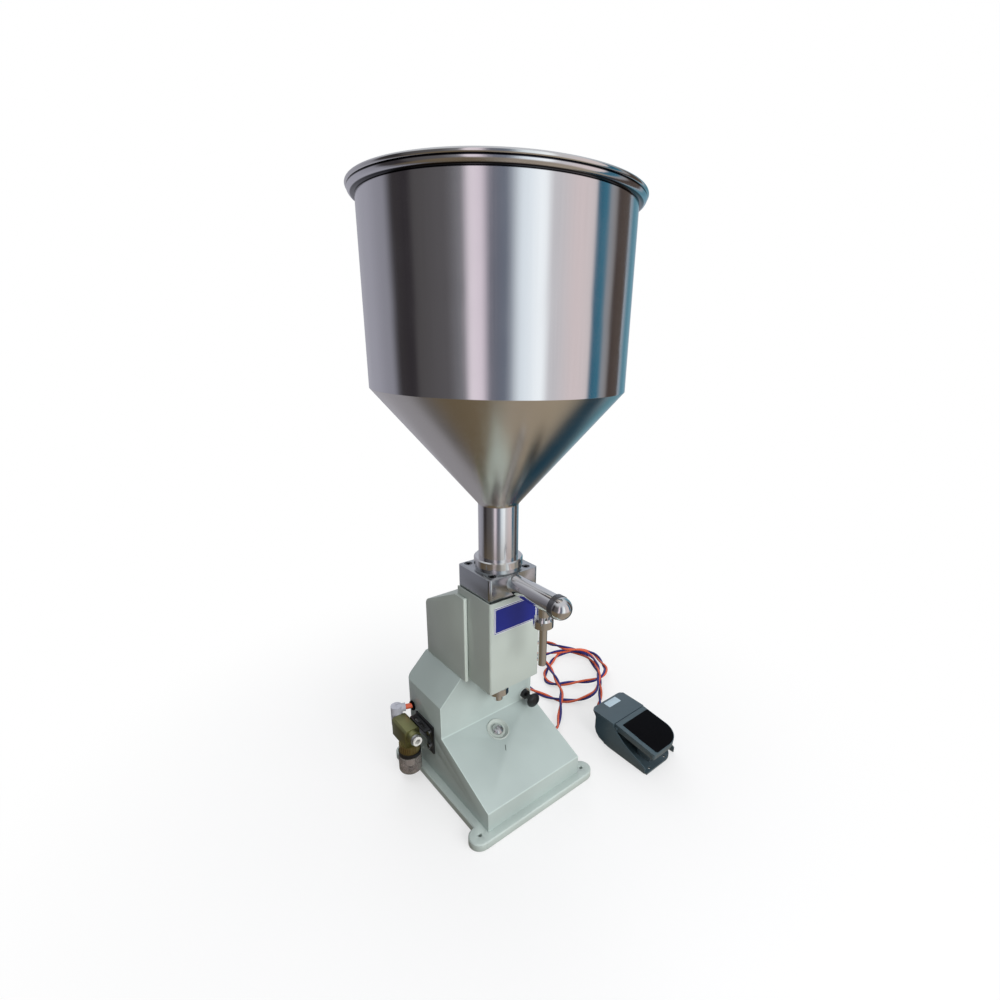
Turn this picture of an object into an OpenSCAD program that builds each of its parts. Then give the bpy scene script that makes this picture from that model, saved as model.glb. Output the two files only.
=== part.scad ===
/* [Base plate] */
// How far the base plate stands out on each side of the body
base_side = 10.3; // [8:0.1:10.6]
// Depth of the base plate, front to back
base_d = 228.6; // [226:0.2:280]
// Thickness of the base plate
base_t = 11; // [9:0.5:16]
// Bevel along the upper edges of the plate and its ears
base_bevel = 1.5; // [0.5:0.5:3]
// Radius of a bolt ear
ear_r = 15; // [11:0.5:20]
// How far an ear's hole stands outside the plate's side
ear_out = 0.5; // [0:0.5:6]
// How far an ear's hole stands in from the plate's front or rear edge
ear_in = 15.3; // [15.3:0.1:30]
// Bolt hole in an ear
bolt_hole_d = 5.5; // [5:0.5:9]

/* [Body shell] */
// Width of the sheet body
body_w = 162.4; // [150:0.2:170]
// Depth of the body's flat top
body_top_d = 95.3; // [90:0.1:110]
// Gap from the plate's rear edge to the body
rear_gap = 11.15; // [8:0.05:14]
// Height of the body above the base plate
body_h = 158.6; // [150:0.2:180]
// Height at which the sloped front begins, above the base plate
slope_top_h = 73.8; // [70:0.2:84]
// Height of the upright lip at the foot of the slope
lip_h = 29.4; // [24:0.2:36]
// Depth of the sloped front
slope_d = 110.35; // [100:0.05:112]
// Chamfer along both upper sides of the body
body_chamfer = 34.2; // [20:0.2:34.4]
// Radius of the body's rear corners
body_corner_r = 8; // [4:0.5:14]
// Thickness of all the sheet
sheet_t = 2; // [1.5:0.25:2.5]
// Width of the folded rim that the body stands on
rim_w = 17; // [15:1:20]

/* [Column] */
// Distance from the body's upright front to the column's axis
column_out = 23.35; // [23.35:0.05:28]
// Stroke of the product piston
stroke = 45; // [30:1:46]
// Bore of the product cylinder
product_bore = 38; // [30:0.5:40]
// Bore of the air cylinder
air_bore = 50; // [40:1:52]
// Wall of both cylinders
barrel_wall = 3; // [2:0.25:3]
// Thickness of each cap of the air cylinder
cap_t = 10; // [9:0.5:14]
// Side of a square cap
cap_w = 60; // [58:0.5:62]
// Diameter of the piston rod
rod_d = 13; // [10:0.5:14]
// Diameter of the nut on the lower rod end
stroke_nut_d = 30; // [22:0.5:34]
// Width of the front cover
cover_w = 82.2; // [79:0.2:82.4]
// Distance from the column's axis to the cover's front
cover_out = 37.7; // [37.2:0.1:44]
// Distance from the column's axis to the cover's rear edge
cover_back = 35; // [34.6:0.1:38]
// Gap between the body's top and the cover's lower edge
cover_lift = 4.2; // [2:0.2:8]
// Height of the cover above the underside of the valve block
cover_rise = 10.2; // [4:0.2:14]
// Width of the bare name plate
plate_w = 71; // [50:1:74]
// Height of the bare name plate
plate_h = 37.5; // [20:0.5:44]

/* [Rear hood] */
// Gap between the front cover's side and the lip of the hood's flange
hood_gap = 0.4; // [0.3:0.1:1.2]
// Depth of the hood
hood_d = 100.6; // [90:0.2:104]
// Depth of the level part of the hood's upper edge
hood_flat_d = 21.6; // [16:0.2:22.4]
// Height of the hood's rear upper corner above the body
hood_rear_h = 93; // [80:1:110]
// Radius of the hood's rear upper corner
hood_corner_r = 12; // [6:1:20]
// Width of the flange folded in along the hood's front edges
hood_flange = 5; // [3:0.5:5]

/* [Valve block and outlet] */
// Gap between the valve block and each side of the cover round it
block_side_gap = 0.5; // [0.4:0.1:3]
// Height of the valve block
block_h = 40; // [38:0.5:50]
// Gap between the valve block and the cover's front
block_front_gap = 2; // [0.6:0.1:6]
// Depth of the valve block behind the column's axis
block_back = 36.4; // [36:0.2:42]
// Radius of the block's upright edges
block_r = 4; // [2:0.5:6]
// Diameter of the neck that the hopper stands on
neck_d = 58; // [58:0.5:62]
// Height of the neck's plain part
neck_h = 5.6; // [4:0.2:8]
// Outer diameter of the outlet tube
outlet_d = 25.4; // [22:0.2:25.4]
// Wall of the outlet tube
outlet_wall = 1.65; // [1.2:0.05:2]
// Length of the outlet tube in front of the block
outlet_len = 76.5; // [68:0.5:105]
// Length of the outlet cap
cap_len = 15; // [14.8:0.1:40]
// Outer diameter of the outlet cap and its collar
cap_d = 29; // [28.6:0.1:32]
// Length of the collar behind the cap
collar_len = 7.4; // [4:0.2:10]
// Diameter of the drop nut
drop_nut_d = 25; // [19:0.5:26]
// Height of the drop nut
drop_nut_h = 12.5; // [12:0.5:20]
// Outer diameter of the spout pipe
spout_d = 10.5; // [6:0.5:12]
// Length of the spout pipe below the drop nut
spout_len = 54; // [30:0.5:80]

/* [Hopper] */
// Outer diameter of the hopper's pipe
pipe_d = 51; // [48:0.5:52]
// Length of the pipe above its foot
pipe_len = 72.7; // [50:0.1:90]
// Outer diameter of the hopper's wall
hopper_d = 289.2; // [240:0.2:340]
// Height of the cone
cone_h = 139.2; // [100:0.2:170]
// Height of the upright wall
wall_h = 182.5; // [120:0.1:220]
// How far the rim flares outwards
flare_out = 7.4; // [4:0.2:12]
// Height of the flare
flare_h = 6; // [5:0.5:24]
// Thickness of the hopper's sheet
hopper_t = 1.5; // [1:0.25:2]
// Outer diameter of the union ring
ring_d = 63.2; // [62.4:0.2:70]
// Radius of the lid's rolled edge
bead_r = 2.2; // [2:0.2:3.4]
// Diameter of the lid's knob
knob_d = 32; // [20:1:40]
// Travel of the lid when it lifts off
lid_lift = 60; // [30:5:100]

/* [Knob and stop] */
// Distance of the push-pull knob from the body's side
mode_in = 14.2; // [14:0.2:18]
// Height of the push-pull knob above the base plate
mode_h = 83.5; // [82:0.5:100]
// Diameter of the knob's head
mode_d = 22.5; // [14:0.5:24]
// Travel of the knob
mode_travel = 5; // [3:0.5:6]
// Diameter of the stop bolt's domed head
stop_d = 16.5; // [12:0.5:18]
// Diameter of the dished seat round the stop bolt
seat_d = 34; // [30:0.5:38]

/* [Inlet filter] */
// Distance from the body's side to the filter's axis
filter_out = 23.8; // [23.8:0.1:30]
// Distance of the filter's axis from the body's rear
filter_in = 43.85; // [40:0.05:48]
// Width of the filter's head
head_w = 23; // [20:0.5:24]
// Height of the head's top above the floor
head_top = 88; // [88:0.5:92]
// Diameter of the clear bowl at its top
bowl_d = 30; // [26:0.5:31]
// Length of the bowl below the black ring
bowl_len = 28.5; // [20:0.5:32]
// Bore of the air inlet
inlet_d = 8; // [6:0.5:8]

/* [Pedal] */
// Width of the pedal
pedal_w = 73.5; // [68:0.5:80]
// Left side of the pedal
pedal_x = 166; // [150:1:190]
// Height of the pedal
pedal_h = 50; // [48:0.5:56]
// Rear edge of the pedal's top
pedal_rear = -47.5; // [-50:0.5:-40]
// Depth of the fixed rear top
pedal_top_d = 48; // [46:0.5:50]
// Depth of the treadle
treadle_d = 77.2; // [70:0.2:84]
// Radius of the treadle's right front corner
treadle_r = 32; // [20:1:34]
// Width of the frame to the left of the rubber pad
pad_left = 7.5; // [3:0.5:12]
// Width of the frame behind the rubber pad
pad_rear = 8.5; // [6:0.5:12]
// Width of the frame at the pad's right and front
pad_edge = 1.2; // [1:0.1:6]
// Angle that the treadle turns when it is pressed
treadle_angle = 9; // [4:0.5:9]
// Slope of the treadle when nobody presses it, in degrees
treadle_tilt = 6; // [0:0.5:6.5]

/* [Hoses] */
// Diameter of the pair of hoses together
hose_d = 8; // [6:0.5:8]

/* [Hidden] */
$fn = 96;

// Clearances
slide_fit = 0.05;
body_gap = 0.3;
push_fit = 0.02;

// Levels and places that follow from the sizes above
base_w = body_w + 2*base_side;
body_top = base_t + body_h;
front_y = base_d/2 - rear_gap - body_top_d;
rear_y = base_d/2 - rear_gap;
lip_y = front_y - slope_d;
slope_a = atan((slope_top_h - lip_h)/slope_d);
axis_y = front_y - column_out;
ear_x = base_w/2 + ear_out;
ear_y = base_d/2 - ear_in;
stop_z = base_t + slope_top_h - column_out*tan(slope_a);

// The stack of cylinders, upwards from the body's top
stack_z = body_top + 0.4;
air_piston_t = 7;
air_len = stroke + air_piston_t + 1;
top_cap_z = stack_z + cap_t + air_len;
product_z = top_cap_z + cap_t;
product_piston_t = 14;
product_len = product_piston_t + stroke + 9;
liner_depth = 15;
block_z = product_z + product_len - liner_depth;
block_top = block_z + block_h;
neck_z = block_top + neck_h;
piston_top = product_z + product_len - 0.5;
air_piston_z = top_cap_z - 0.5 - air_piston_t;
stop_head = 4.5;
rod_end = stop_z + stop_head*cos(slope_a) + 4.9 + stroke;

cover_z0 = body_top + cover_lift;
cover_z1 = block_z + cover_rise;
cover_y0 = axis_y - cover_out;
cover_y1 = axis_y + cover_back;
hood_z1 = block_z - 0.4;
hood_y0 = front_y - 10.92;
hood_y1 = hood_y0 + hood_d;
frame_t = 6;

chamber_r = 16;
chamber_top = block_top + 1;
seat_r = 12;
outlet_z = block_top - 13;
outlet_in = outlet_d/2 - outlet_wall;
socket_depth = 7.4;
block_w = cover_w - 2*sheet_t - 2*block_side_gap;
block_y0 = cover_y0 + sheet_t + block_front_gap;
block_y1 = axis_y + block_back;
tube_y1 = block_y0 + socket_depth;
tube_y0 = block_y0 - outlet_len;
spout_y = block_y0 - 56.5;
drop_nut_z = outlet_z - outlet_d/2 - 10.3 - drop_nut_h;

gasket_t = 1.5;
spigot_h = 3;
foot_z = neck_z + spigot_h + gasket_t;
foot_t = 3;
pipe_z1 = foot_z + foot_t + pipe_len;
seam_z = pipe_z1 + cone_h;
crease_z = seam_z + wall_h;
rim_z = crease_z + flare_h;
lid_r = hopper_d/2 + flare_out - 0.9;

mode_x = body_w/2 - mode_in;
mode_z = base_t + mode_h;
filter_x = -body_w/2 - filter_out;
filter_y = rear_y - filter_in;
port_z = head_top - 11;
head_y0 = filter_y - 11.3;
head_y1 = filter_y + 28.7;
head_z0 = head_top - 28;
bowl_ring_t = 5.5;
knurl_h = 13.5;
knurl_z = head_z0 - knurl_h;
bowl_ring_z = knurl_z - bowl_ring_t;
bowl_z = bowl_ring_z - bowl_len;
neck_r = 11;
elbow_x = filter_x + 1;
elbow_y = head_y1 + 8.5;
elbow_a = -20.4;
grommet_y = elbow_y + (body_w/2 + elbow_x)*tan(-elbow_a);
supply_z = head_top + 6;
supply_r = 4;

pedal_right = pedal_x + pedal_w;
pedal_front = pedal_rear - pedal_top_d;
wall_t = 1.5;
treadle_y1 = pedal_front - 0.8;
treadle_y0 = treadle_y1 - treadle_d;
treadle_x0 = pedal_x + wall_t + 0.5;
treadle_x1 = pedal_right - wall_t - 0.4;
pivot_y = treadle_y1 - 3.7;
pivot_z = pedal_h - 7;
pivot_r = 2.5;
plunger_y = pivot_y - 40;
plunger_x = pedal_x + pedal_w/2;
plunger_r = 3.5;
pedal_base_t = 3;
pedal_valve_z1 = 28.5;
pedal_wall_y = pedal_rear - 10.5;
pedal_gland = [212, pedal_wall_y + 8, 28];
body_gland = [body_w/2 + 11, -10, 34];

// Route of the hoses over the floor, from the pedal to the body's right side
hose_route = [[212, -50, 28], [212, -44, 28], [213, -30, 20], [226, -13, 8], [246, 3, 4], [267, 22, 4],
    [286, 42, 4], [303, 63, 4], [317, 90, 4], [323, 119, 4], [309, 145, 4], [281, 152, 4],
    [246, 138, 4], [215, 119, 4], [203, 99, 4], [212, 81, 4], [238, 64, 6], [266, 40, 12],
    [290, 38, 13], [312, 50, 12], [325, 71, 8],
    [336, 92, 6], [340, 110, 6], [331, 123, 9], [311, 134, 13], [293, 144, 13], [276, 156, 11],
    [258, 174, 4], [247, 191, 4], [254, 209, 4], [274, 216, 4], [290, 204, 6], [290, 184, 12],
    [288, 164, 18], [290, 143, 22], [306, 127, 20], [319, 111, 16], [319, 92, 14], [308, 72, 14],
    [297, 57, 17], [282, 42, 21], [263, 24, 23], [241, 12, 14], [214, 20, 6], [188, 38, 4], [172, 68, 4],
    [164, 102, 4], [165, 134, 4], [180, 160, 4], [204, 172, 5], [226, 166, 9], [235, 148, 13],
    [230, 126, 14], [218, 97, 13], [206, 73, 14], [195, 52, 12], [176, 33, 14], [152, 11, 6], [131, -6, 5],
    [112, -13, 18], [99, -10, 33.5], [92.2, -10, 34]];

// Outlines and solids that repeat

// A rectangle from corner to corner with four round corners
module round_rect(x0, x1, y0, y1, r) {
    translate([x0 + r, y0]) square([x1 - x0 - 2*r, y1 - y0]);
    translate([x0, y0 + r]) square([x1 - x0, y1 - y0 - 2*r]);
    for (x = [x0 + r, x1 - r], y = [y0 + r, y1 - r])
        translate([x, y]) circle(r);
}

// A box from corner to corner
module box(x0, x1, y0, y1, z0, z1) {
    translate([x0, y0, z0]) cube([x1 - x0, y1 - y0, z1 - z0]);
}

// A box with round upright edges
module round_box(x0, x1, y0, y1, z0, z1, r) {
    translate([0, 0, z0]) linear_extrude(z1 - z0) round_rect(x0, x1, y0, y1, r);
}

// A cylinder along Z, Y or X between two levels
module rod_z(r, x, y, z0, z1) {
    translate([x, y, z0]) cylinder(r=r, h=z1 - z0);
}
module rod_y(r, x, z, y0, y1) {
    translate([x, y1, z]) rotate([90, 0, 0]) cylinder(r=r, h=y1 - y0);
}
module rod_x(r, y, z, x0, x1) {
    translate([x0, y, z]) rotate([0, 90, 0]) cylinder(r=r, h=x1 - x0);
}

// An outline in Y and Z carried along X, or in X and Z carried along Y
module side_prism(x0, x1, points) {
    translate([x0, 0, 0]) rotate([90, 0, 90]) linear_extrude(x1 - x0) polygon(points);
}
module front_prism(y0, y1, points) {
    translate([0, y1, 0]) rotate([90, 0, 0]) linear_extrude(y1 - y0) polygon(points);
}

// A solid turned about the column's axis
module turned(points) {
    translate([0, axis_y, 0]) rotate_extrude($fn=128) polygon(points);
}

// The frame of the stop bolt: on the slope below the column, with Z square to the slope
module on_slope() {
    translate([0, axis_y, stop_z]) rotate([slope_a, 0, 0]) children();
}

// The frame of the supply tube: from the elbow's axis, with X along the tube
module along_supply() {
    translate([elbow_x, elbow_y, supply_z]) rotate([0, 0, elbow_a]) children();
}

// Places of the socket screws in the block's top
block_screw_places = [for (x = [-1, 1], y = [block_y0 + 10.7, block_y1 - 6.9]) [x*(block_w/2 - 11.6), y]];
tie_rod_places = [for (x = [-1, 1], y = [-1, 1]) [x*(cap_w/2 - 10), axis_y + y*(cap_w/2 - 5.7)]];
body_screw_places = [for (x = [-1, 1], y = [lip_y + rim_w/2 + 1, rear_y - rim_w/2 - 1])
    [x*(body_w/2 - 22), y]];
frame_bolt_places = [for (x = [-20, 20]) [x, cover_y1 + frame_t + 14]];

// Base plate with four bolt ears and countersunk holes for the body's screws
csk_r = 5;
screw_r = 2.5;
module bevelled_plate() {
    edge = base_bevel*sqrt(2);
    difference() {
        box(-base_w/2, base_w/2, -base_d/2, base_d/2, 0, base_t);
        for (s = [-1, 1]) {
            translate([s*base_w/2, 0, base_t]) rotate([0, 45, 0]) cube([edge, base_d + 2, edge], center=true);
            translate([0, s*base_d/2, base_t]) rotate([45, 0, 0]) cube([base_w + 2, edge, edge], center=true);
        }
    }
}
module base_plate() {
    color("#a9b8b0") difference() {
        union() {
            bevelled_plate();
            for (x = [-ear_x, ear_x], y = [-ear_y, ear_y]) translate([x, y, 0]) {
                cylinder(r=ear_r, h=base_t - base_bevel);
                translate([0, 0, base_t - base_bevel])
                    cylinder(r1=ear_r, r2=ear_r - base_bevel, h=base_bevel);
            }
        }
        for (x = [-ear_x, ear_x], y = [-ear_y, ear_y]) rod_z(bolt_hole_d/2, x, y, -1, base_t + 1);
        for (p = body_screw_places) {
            rod_z(screw_r + slide_fit, p.x, p.y, -1, base_t + 1);
            translate([p.x, p.y, 0]) cylinder(r1=csk_r + slide_fit, r2=screw_r + slide_fit, h=3);
        }
    }
}

// The body's outline from the side and from the front, drawn in by t
function body_side(t) = let (
        s = (slope_top_h - lip_h)/slope_d,
        d = t*sqrt(1 + s*s))
    [[lip_y + t, base_t + t], [lip_y + t, base_t + lip_h + s*t - d],
     [front_y + t, base_t + slope_top_h + s*t - d], [front_y + t, body_top - t],
     [rear_y - t, body_top - t], [rear_y - t, base_t + t]];
function body_face(t) = let (w = body_w/2, c = body_chamfer, k = t*(sqrt(2) - 1))
    [[-w + t, 0], [w - t, 0], [w - t, body_top - c - k], [w - c - k, body_top - t],
     [-w + c + k, body_top - t], [-w + t, body_top - c - k]];
module body_plan(t) {
    r = body_corner_r - t;
    translate([-body_w/2 + t, lip_y]) square([body_w - 2*t, rear_y - lip_y - body_corner_r]);
    translate([-body_w/2 + body_corner_r, lip_y]) square([body_w - 2*body_corner_r, rear_y - lip_y - t]);
    for (x = [-1, 1]) translate([x*(body_w/2 - body_corner_r), rear_y - body_corner_r]) circle(r);
}
module body_solid(t) {
    intersection() {
        side_prism(-body_w/2, body_w/2, body_side(t));
        front_prism(lip_y - 1, rear_y + 1, body_face(t));
        translate([0, 0, base_t]) linear_extrude(body_h) body_plan(t);
    }
}
module body_shell() {
    color("#b3c2ba") difference() {
        body_solid(0);
        body_solid(sheet_t);
        box(-body_w/2 + rim_w, body_w/2 - rim_w, lip_y + rim_w, rear_y - rim_w, base_t - 1, base_t + 5);
        for (p = body_screw_places) rod_z(screw_r + slide_fit, p.x, p.y, base_t - 1, base_t + 5);
        for (p = frame_bolt_places) rod_z(3 + slide_fit, p.x, p.y, body_top - 5, body_top + 1);
        on_slope() translate([0, 0, -6]) cylinder(r=seat_d/2 - 1, h=12);
        rod_y(7 + slide_fit, mode_x, mode_z, front_y - 1, front_y + 5);
        rod_x(6.2, grommet_y, supply_z, -body_w/2 - 1, -body_w/2 + 5);
        for (z = bracket_screw_levels)
            rod_x(screw_r + slide_fit, bracket_screw_y, z, -body_w/2 - 1, -body_w/2 + 5);
        rod_x(6.05, body_gland.y, body_gland.z, body_w/2 - 5, body_w/2 + 1);
    }
}

// Screws: four countersunk ones up through the base plate, two under the frame's foot, two in the bracket
nut_z = base_t + sheet_t;
module body_screws() {
    color("#8f9392") {
        for (p = body_screw_places) translate([p.x, p.y, 0]) {
            cylinder(r1=csk_r, r2=screw_r, h=3);
            cylinder(r=screw_r, h=nut_z + 6);
        }
        for (p = frame_bolt_places) translate([p.x, p.y, 0]) {
            translate([0, 0, body_top - sheet_t - 8]) cylinder(r=3, h=frame_t + sheet_t + 9);
            translate([0, 0, body_top + frame_t]) cylinder(r=5.5, h=4, $fn=6);
        }
        for (z = bracket_screw_levels) {
            rod_x(4.2, bracket_screw_y, z, -body_w/2 - bracket_t - 3, -body_w/2 - bracket_t);
            rod_x(screw_r, bracket_screw_y, z, -body_w/2 - bracket_t, -body_w/2 + 8);
        }
    }
}

// A six-sided nut across the flats of its thread, standing on Z
module hex_nut(r, h, bore) {
    difference() {
        cylinder(r=r, h=h, $fn=6);
        translate([0, 0, -1]) cylinder(r=bore + slide_fit, h=h + 2);
    }
}
module body_nuts() {
    color("#9b9fa0") {
        for (p = body_screw_places) translate([p.x, p.y, nut_z]) hex_nut(4.6, 4, screw_r);
        for (p = frame_bolt_places) translate([p.x, p.y, body_top - sheet_t - 5]) hex_nut(5.5, 5, 3);
        for (z = bracket_screw_levels) translate([-body_w/2 + sheet_t, bracket_screw_y, z]) rotate([0, 90, 0])
            hex_nut(4.6, 4, screw_r);
        on_slope() translate([0, 0, -12]) hex_nut(9.2, 8, 5);
    }
}

// Rear hood: two cheeks, a sloped roof and a back in one folded sheet
hood_fall = hood_z1 - body_top - hood_rear_h;
hood_a = atan(hood_fall/(hood_d - hood_flat_d - hood_corner_r));
module hood_outline(t) {
    r = hood_corner_r - t;
    cy = hood_y1 - hood_corner_r;
    cz = hood_z1 - hood_fall - hood_corner_r/cos(hood_a);
    polygon(concat(
        [[hood_y0, body_top], [hood_y0, hood_z1 - t], [hood_y0 + hood_flat_d - t*tan(hood_a/2), hood_z1 - t]],
        [for (i = [0:12]) let (a = 90 - hood_a - i*(90 - hood_a)/12) [cy + r*cos(a), cz + r*sin(a)]],
        [[cy + r, body_top]]));
}
module hood_solid(x0, x1, t) {
    translate([x0, 0, 0]) rotate([90, 0, 90]) linear_extrude(x1 - x0) hood_outline(t);
}
module rear_hood() {
    half = cover_w/2 + hood_gap + hood_flange;
    color("#b3c2ba") difference() {
        hood_solid(-half, half, 0);
        difference() {
            hood_solid(-half + sheet_t, half - sheet_t, sheet_t);
            for (s = [-1, 1])
                box(s*(half - hood_flange/2) - hood_flange/2, s*(half - hood_flange/2) + hood_flange/2,
                    hood_y0 - 1, hood_y0 + sheet_t, 0, hood_z1 + 1);
        }
        box(-half + hood_flange, half - hood_flange, hood_y0 - 1, hood_y0 + hood_flat_d + 1,
            body_top - 1, hood_z1 + 1);
    }
}

// Front cover: a front and two sides, folded in along their rear edges against the frame
module column_cover() {
    half = cover_w/2;
    color("#c3cdc6") difference() {
        round_box(-half, half, cover_y0, cover_y1 + 4, cover_z0, cover_z1, 3);
        round_box(-half + sheet_t, half - sheet_t, cover_y0 + sheet_t, cover_y1 + 3,
            cover_z0 - 1, cover_z1 + 1, 1);
        box(-half - 1, half + 1, cover_y1, cover_y1 + 6, cover_z0 - 1, cover_z1 + 1);
    }
    color("#c3cdc6") for (s = [-1, 1])
        box(s*(half - 5.5) - 3.6, s*(half - 5.5) + 3.6, cover_y1 - sheet_t, cover_y1,
            cover_z0 + 6, block_z - 11);
}

// Bare name plate on the cover's front
module name_plate() {
    z0 = cover_z1 - 6.7 - plate_h;
    color("#1d2f86") translate([0, cover_y0, z0]) rotate([90, 0, 0]) linear_extrude(0.6)
        round_rect(-plate_w/2, plate_w/2, 0, plate_h, 3);
}

// Column frame: a back plate, a foot on the body and a head under the valve block
module column_frame() {
    half = cover_w/2 - sheet_t - 0.1;
    y0 = cover_y1;
    y1 = y0 + frame_t;
    color("#9aa3a2") difference() {
        union() {
            box(-half, half, y0, y1, body_top, block_z - 7);
            box(-half, half, y1, y1 + 26, body_top, body_top + frame_t);
            round_box(-block_w/2, block_w/2, block_y0 + 1, y0 - 0.5, block_z - 10, block_z, 2);
            box(-block_w/2, block_w/2, y0 - 10, y1, block_z - 10, block_z - 7);
            for (s = [-1, 1]) side_prism(s*29.5 - 1.5, s*29.5 + 1.5, [[y0, block_z - 50], [y0, block_z - 10],
                [axis_y - 14, block_z - 10], [axis_y - 14, block_z - 14]]);
        }
        rod_z(product_bore/2 + barrel_wall + slide_fit, 0, axis_y, block_z - 12, block_z + 1);
        for (p = block_screw_places) rod_z(3 + slide_fit, p.x, p.y, block_z - 12, block_z + 1);
        for (p = tie_rod_places) rod_z(3 + slide_fit, p.x, p.y, block_z - 12, block_z - 3);
        for (p = frame_bolt_places) rod_z(3 + slide_fit, p.x, p.y, body_top - 1, body_top + frame_t + 1);
    }
}

// Valve block with its neck, chamber, outlet socket and counterbored screw holes
head_r = 5;
head_h = 6;
module valve_block() {
    color("#b9bcc0") difference() {
        union() {
            round_box(-block_w/2, block_w/2, block_y0, block_y1, block_z, block_top, block_r);
            rod_z(ring_d/2 - 1.6, 0, axis_y, block_top, neck_z);
            rod_z(foot_r, 0, axis_y, neck_z, neck_z + spigot_h);
        }
        rod_z(product_bore/2 + barrel_wall + push_fit, 0, axis_y, block_z - 1, block_z + liner_depth);
        rod_z(chamber_r, 0, axis_y, block_z + liner_depth - 1, chamber_top);
        rod_z(seat_r, 0, axis_y, chamber_top - 1, neck_z + spigot_h + 1);
        rod_y(outlet_in - 2, 0, outlet_z, block_y0 - 1, axis_y);
        rod_y(outlet_d/2 + push_fit, 0, outlet_z, block_y0 - 1, tube_y1);
        for (p = block_screw_places) {
            rod_z(3 + slide_fit, p.x, p.y, block_z - 1, block_top + 1);
            rod_z(head_r + 0.3, p.x, p.y, block_top - head_h - 0.5, block_top + 1);
        }
    }
}

// Socket screws that clamp the block to the frame
module block_screws() {
    color("#303336") for (p = block_screw_places) translate([p.x, p.y, 0]) difference() {
        union() {
            translate([0, 0, block_z - 10]) cylinder(r=3, h=block_h + 4);
            translate([0, 0, block_top - head_h - 0.5]) cylinder(r=head_r, h=head_h);
        }
        translate([0, 0, block_top - 3.5]) cylinder(r=2.9, h=4, $fn=6);
    }
}

// Hopper: foot, pipe, cone, wall and flared rim as one welded sheet
hopper_r = hopper_d/2;
foot_r = neck_d/2 - 1;
module hopper() {
    t = hopper_t;
    color("#c4c6c9") turned(concat(
        [[pipe_d/2 - t, foot_z], [foot_r, foot_z], [foot_r, foot_z + foot_t], [pipe_d/2, foot_z + foot_t],
            [pipe_d/2, pipe_z1], [hopper_r, seam_z]],
        [for (a = [0:10:90]) [hopper_r + flare_out*sin(a), crease_z + flare_h*(1 - cos(a))]],
        [for (a = [90:-10:0])
            [hopper_r - t + flare_out*sin(a), crease_z + t + (flare_h - t)*(1 - cos(a))]],
        [[hopper_r - t, seam_z + 0.8], [pipe_d/2 - t, pipe_z1 + 0.8]]));
}

// Flat gasket between the neck and the hopper's foot
module hopper_seal() {
    color("#e8e4da") difference() {
        rod_z(pipe_d/2 + 2.4, 0, axis_y, neck_z + spigot_h, foot_z);
        rod_z(pipe_d/2 - hopper_t, 0, axis_y, neck_z + spigot_h - 1, foot_z + 1);
    }
}

// Union ring that draws the hopper's foot down on the neck, with spanner slots
module hopper_ring() {
    lip_z = foot_z + foot_t;
    color("#b4b7ba") difference() {
        union() {
            rod_z(ring_d/2, 0, axis_y, neck_z, lip_z + 1);
            translate([0, axis_y, lip_z + 1]) cylinder(r1=ring_d/2, r2=ring_d/2 - 1.4, h=1.4);
        }
        rod_z(foot_r + slide_fit, 0, axis_y, neck_z - 1, lip_z);
        rod_z(pipe_d/2 + slide_fit, 0, axis_y, neck_z - 1, lip_z + 4);
        for (a = [0:90:270])
            translate([0, axis_y, 0]) rotate([0, 0, a + 26]) translate([0, -ring_d/2, neck_z + 4])
                cube([3, 3, 6], center=true);
    }
}

// Lid with a rolled edge that rests on the hopper's rim
module hopper_lid() {
    z = rim_z + body_gap + bead_r;
    color("#c9ccce") {
        translate([0, axis_y, 0]) rotate_extrude($fn=128) translate([lid_r, z]) circle(bead_r, $fn=24);
        turned([[0, z + 1.4], [lid_r - 1, z + 0.2], [lid_r - 1, z + 1.6], [0, z + 2.8]]);
    }
}
module lid_knob() {
    z = rim_z + body_gap + bead_r + 2.8;
    r = knob_d/2;
    color("#1c1c1e")
        turned([[0, z], [7, z], [6, z + 6], [r - 2, z + 9], [r, z + 13], [r - 3, z + 18], [0, z + 20]]);
}

// Inlet check valve: a disc under its seat, hung on a stem through a guide above
guide_t = 3;
stem_top = neck_z + spigot_h + 27;
module inlet_poppet() {
    color("#bcbfc2") {
        rod_z(chamber_r - 2, 0, axis_y, chamber_top - body_gap - 3, chamber_top - body_gap);
        rod_z(3, 0, axis_y, chamber_top - body_gap, stem_top);
        rod_z(6, 0, axis_y, stem_top - 4, stem_top);
    }
}
module stem_guides() {
    z = neck_z + spigot_h;
    color("#a8abae") difference() {
        rod_z(pipe_d/2 - hopper_t - 2, 0, axis_y, z, z + guide_t);
        rod_z(3 + slide_fit, 0, axis_y, z - 1, z + guide_t + 1);
        for (a = [0, 120, 240])
            translate([14*cos(a), axis_y + 14*sin(a), z - 1]) cylinder(r=5, h=guide_t + 2);
    }
    color("#a8abae") difference() {
        rod_y(outlet_in - push_fit, 0, outlet_z, guide_y - 3, guide_y);
        rod_y(2.5 + slide_fit, 0, outlet_z, guide_y - 4, guide_y + 1);
        for (a = [0, 120, 240]) rod_y(2.7, 6.9*cos(a), outlet_z + 6.9*sin(a), guide_y - 4, guide_y + 1);
    }
}
module inlet_spring() {
    z = neck_z + spigot_h + guide_t;
    color("#8d9194") difference() {
        rod_z(5.6, 0, axis_y, z, stem_top - 4);
        rod_z(4.2, 0, axis_y, z - 1, stem_top);
    }
}

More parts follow.
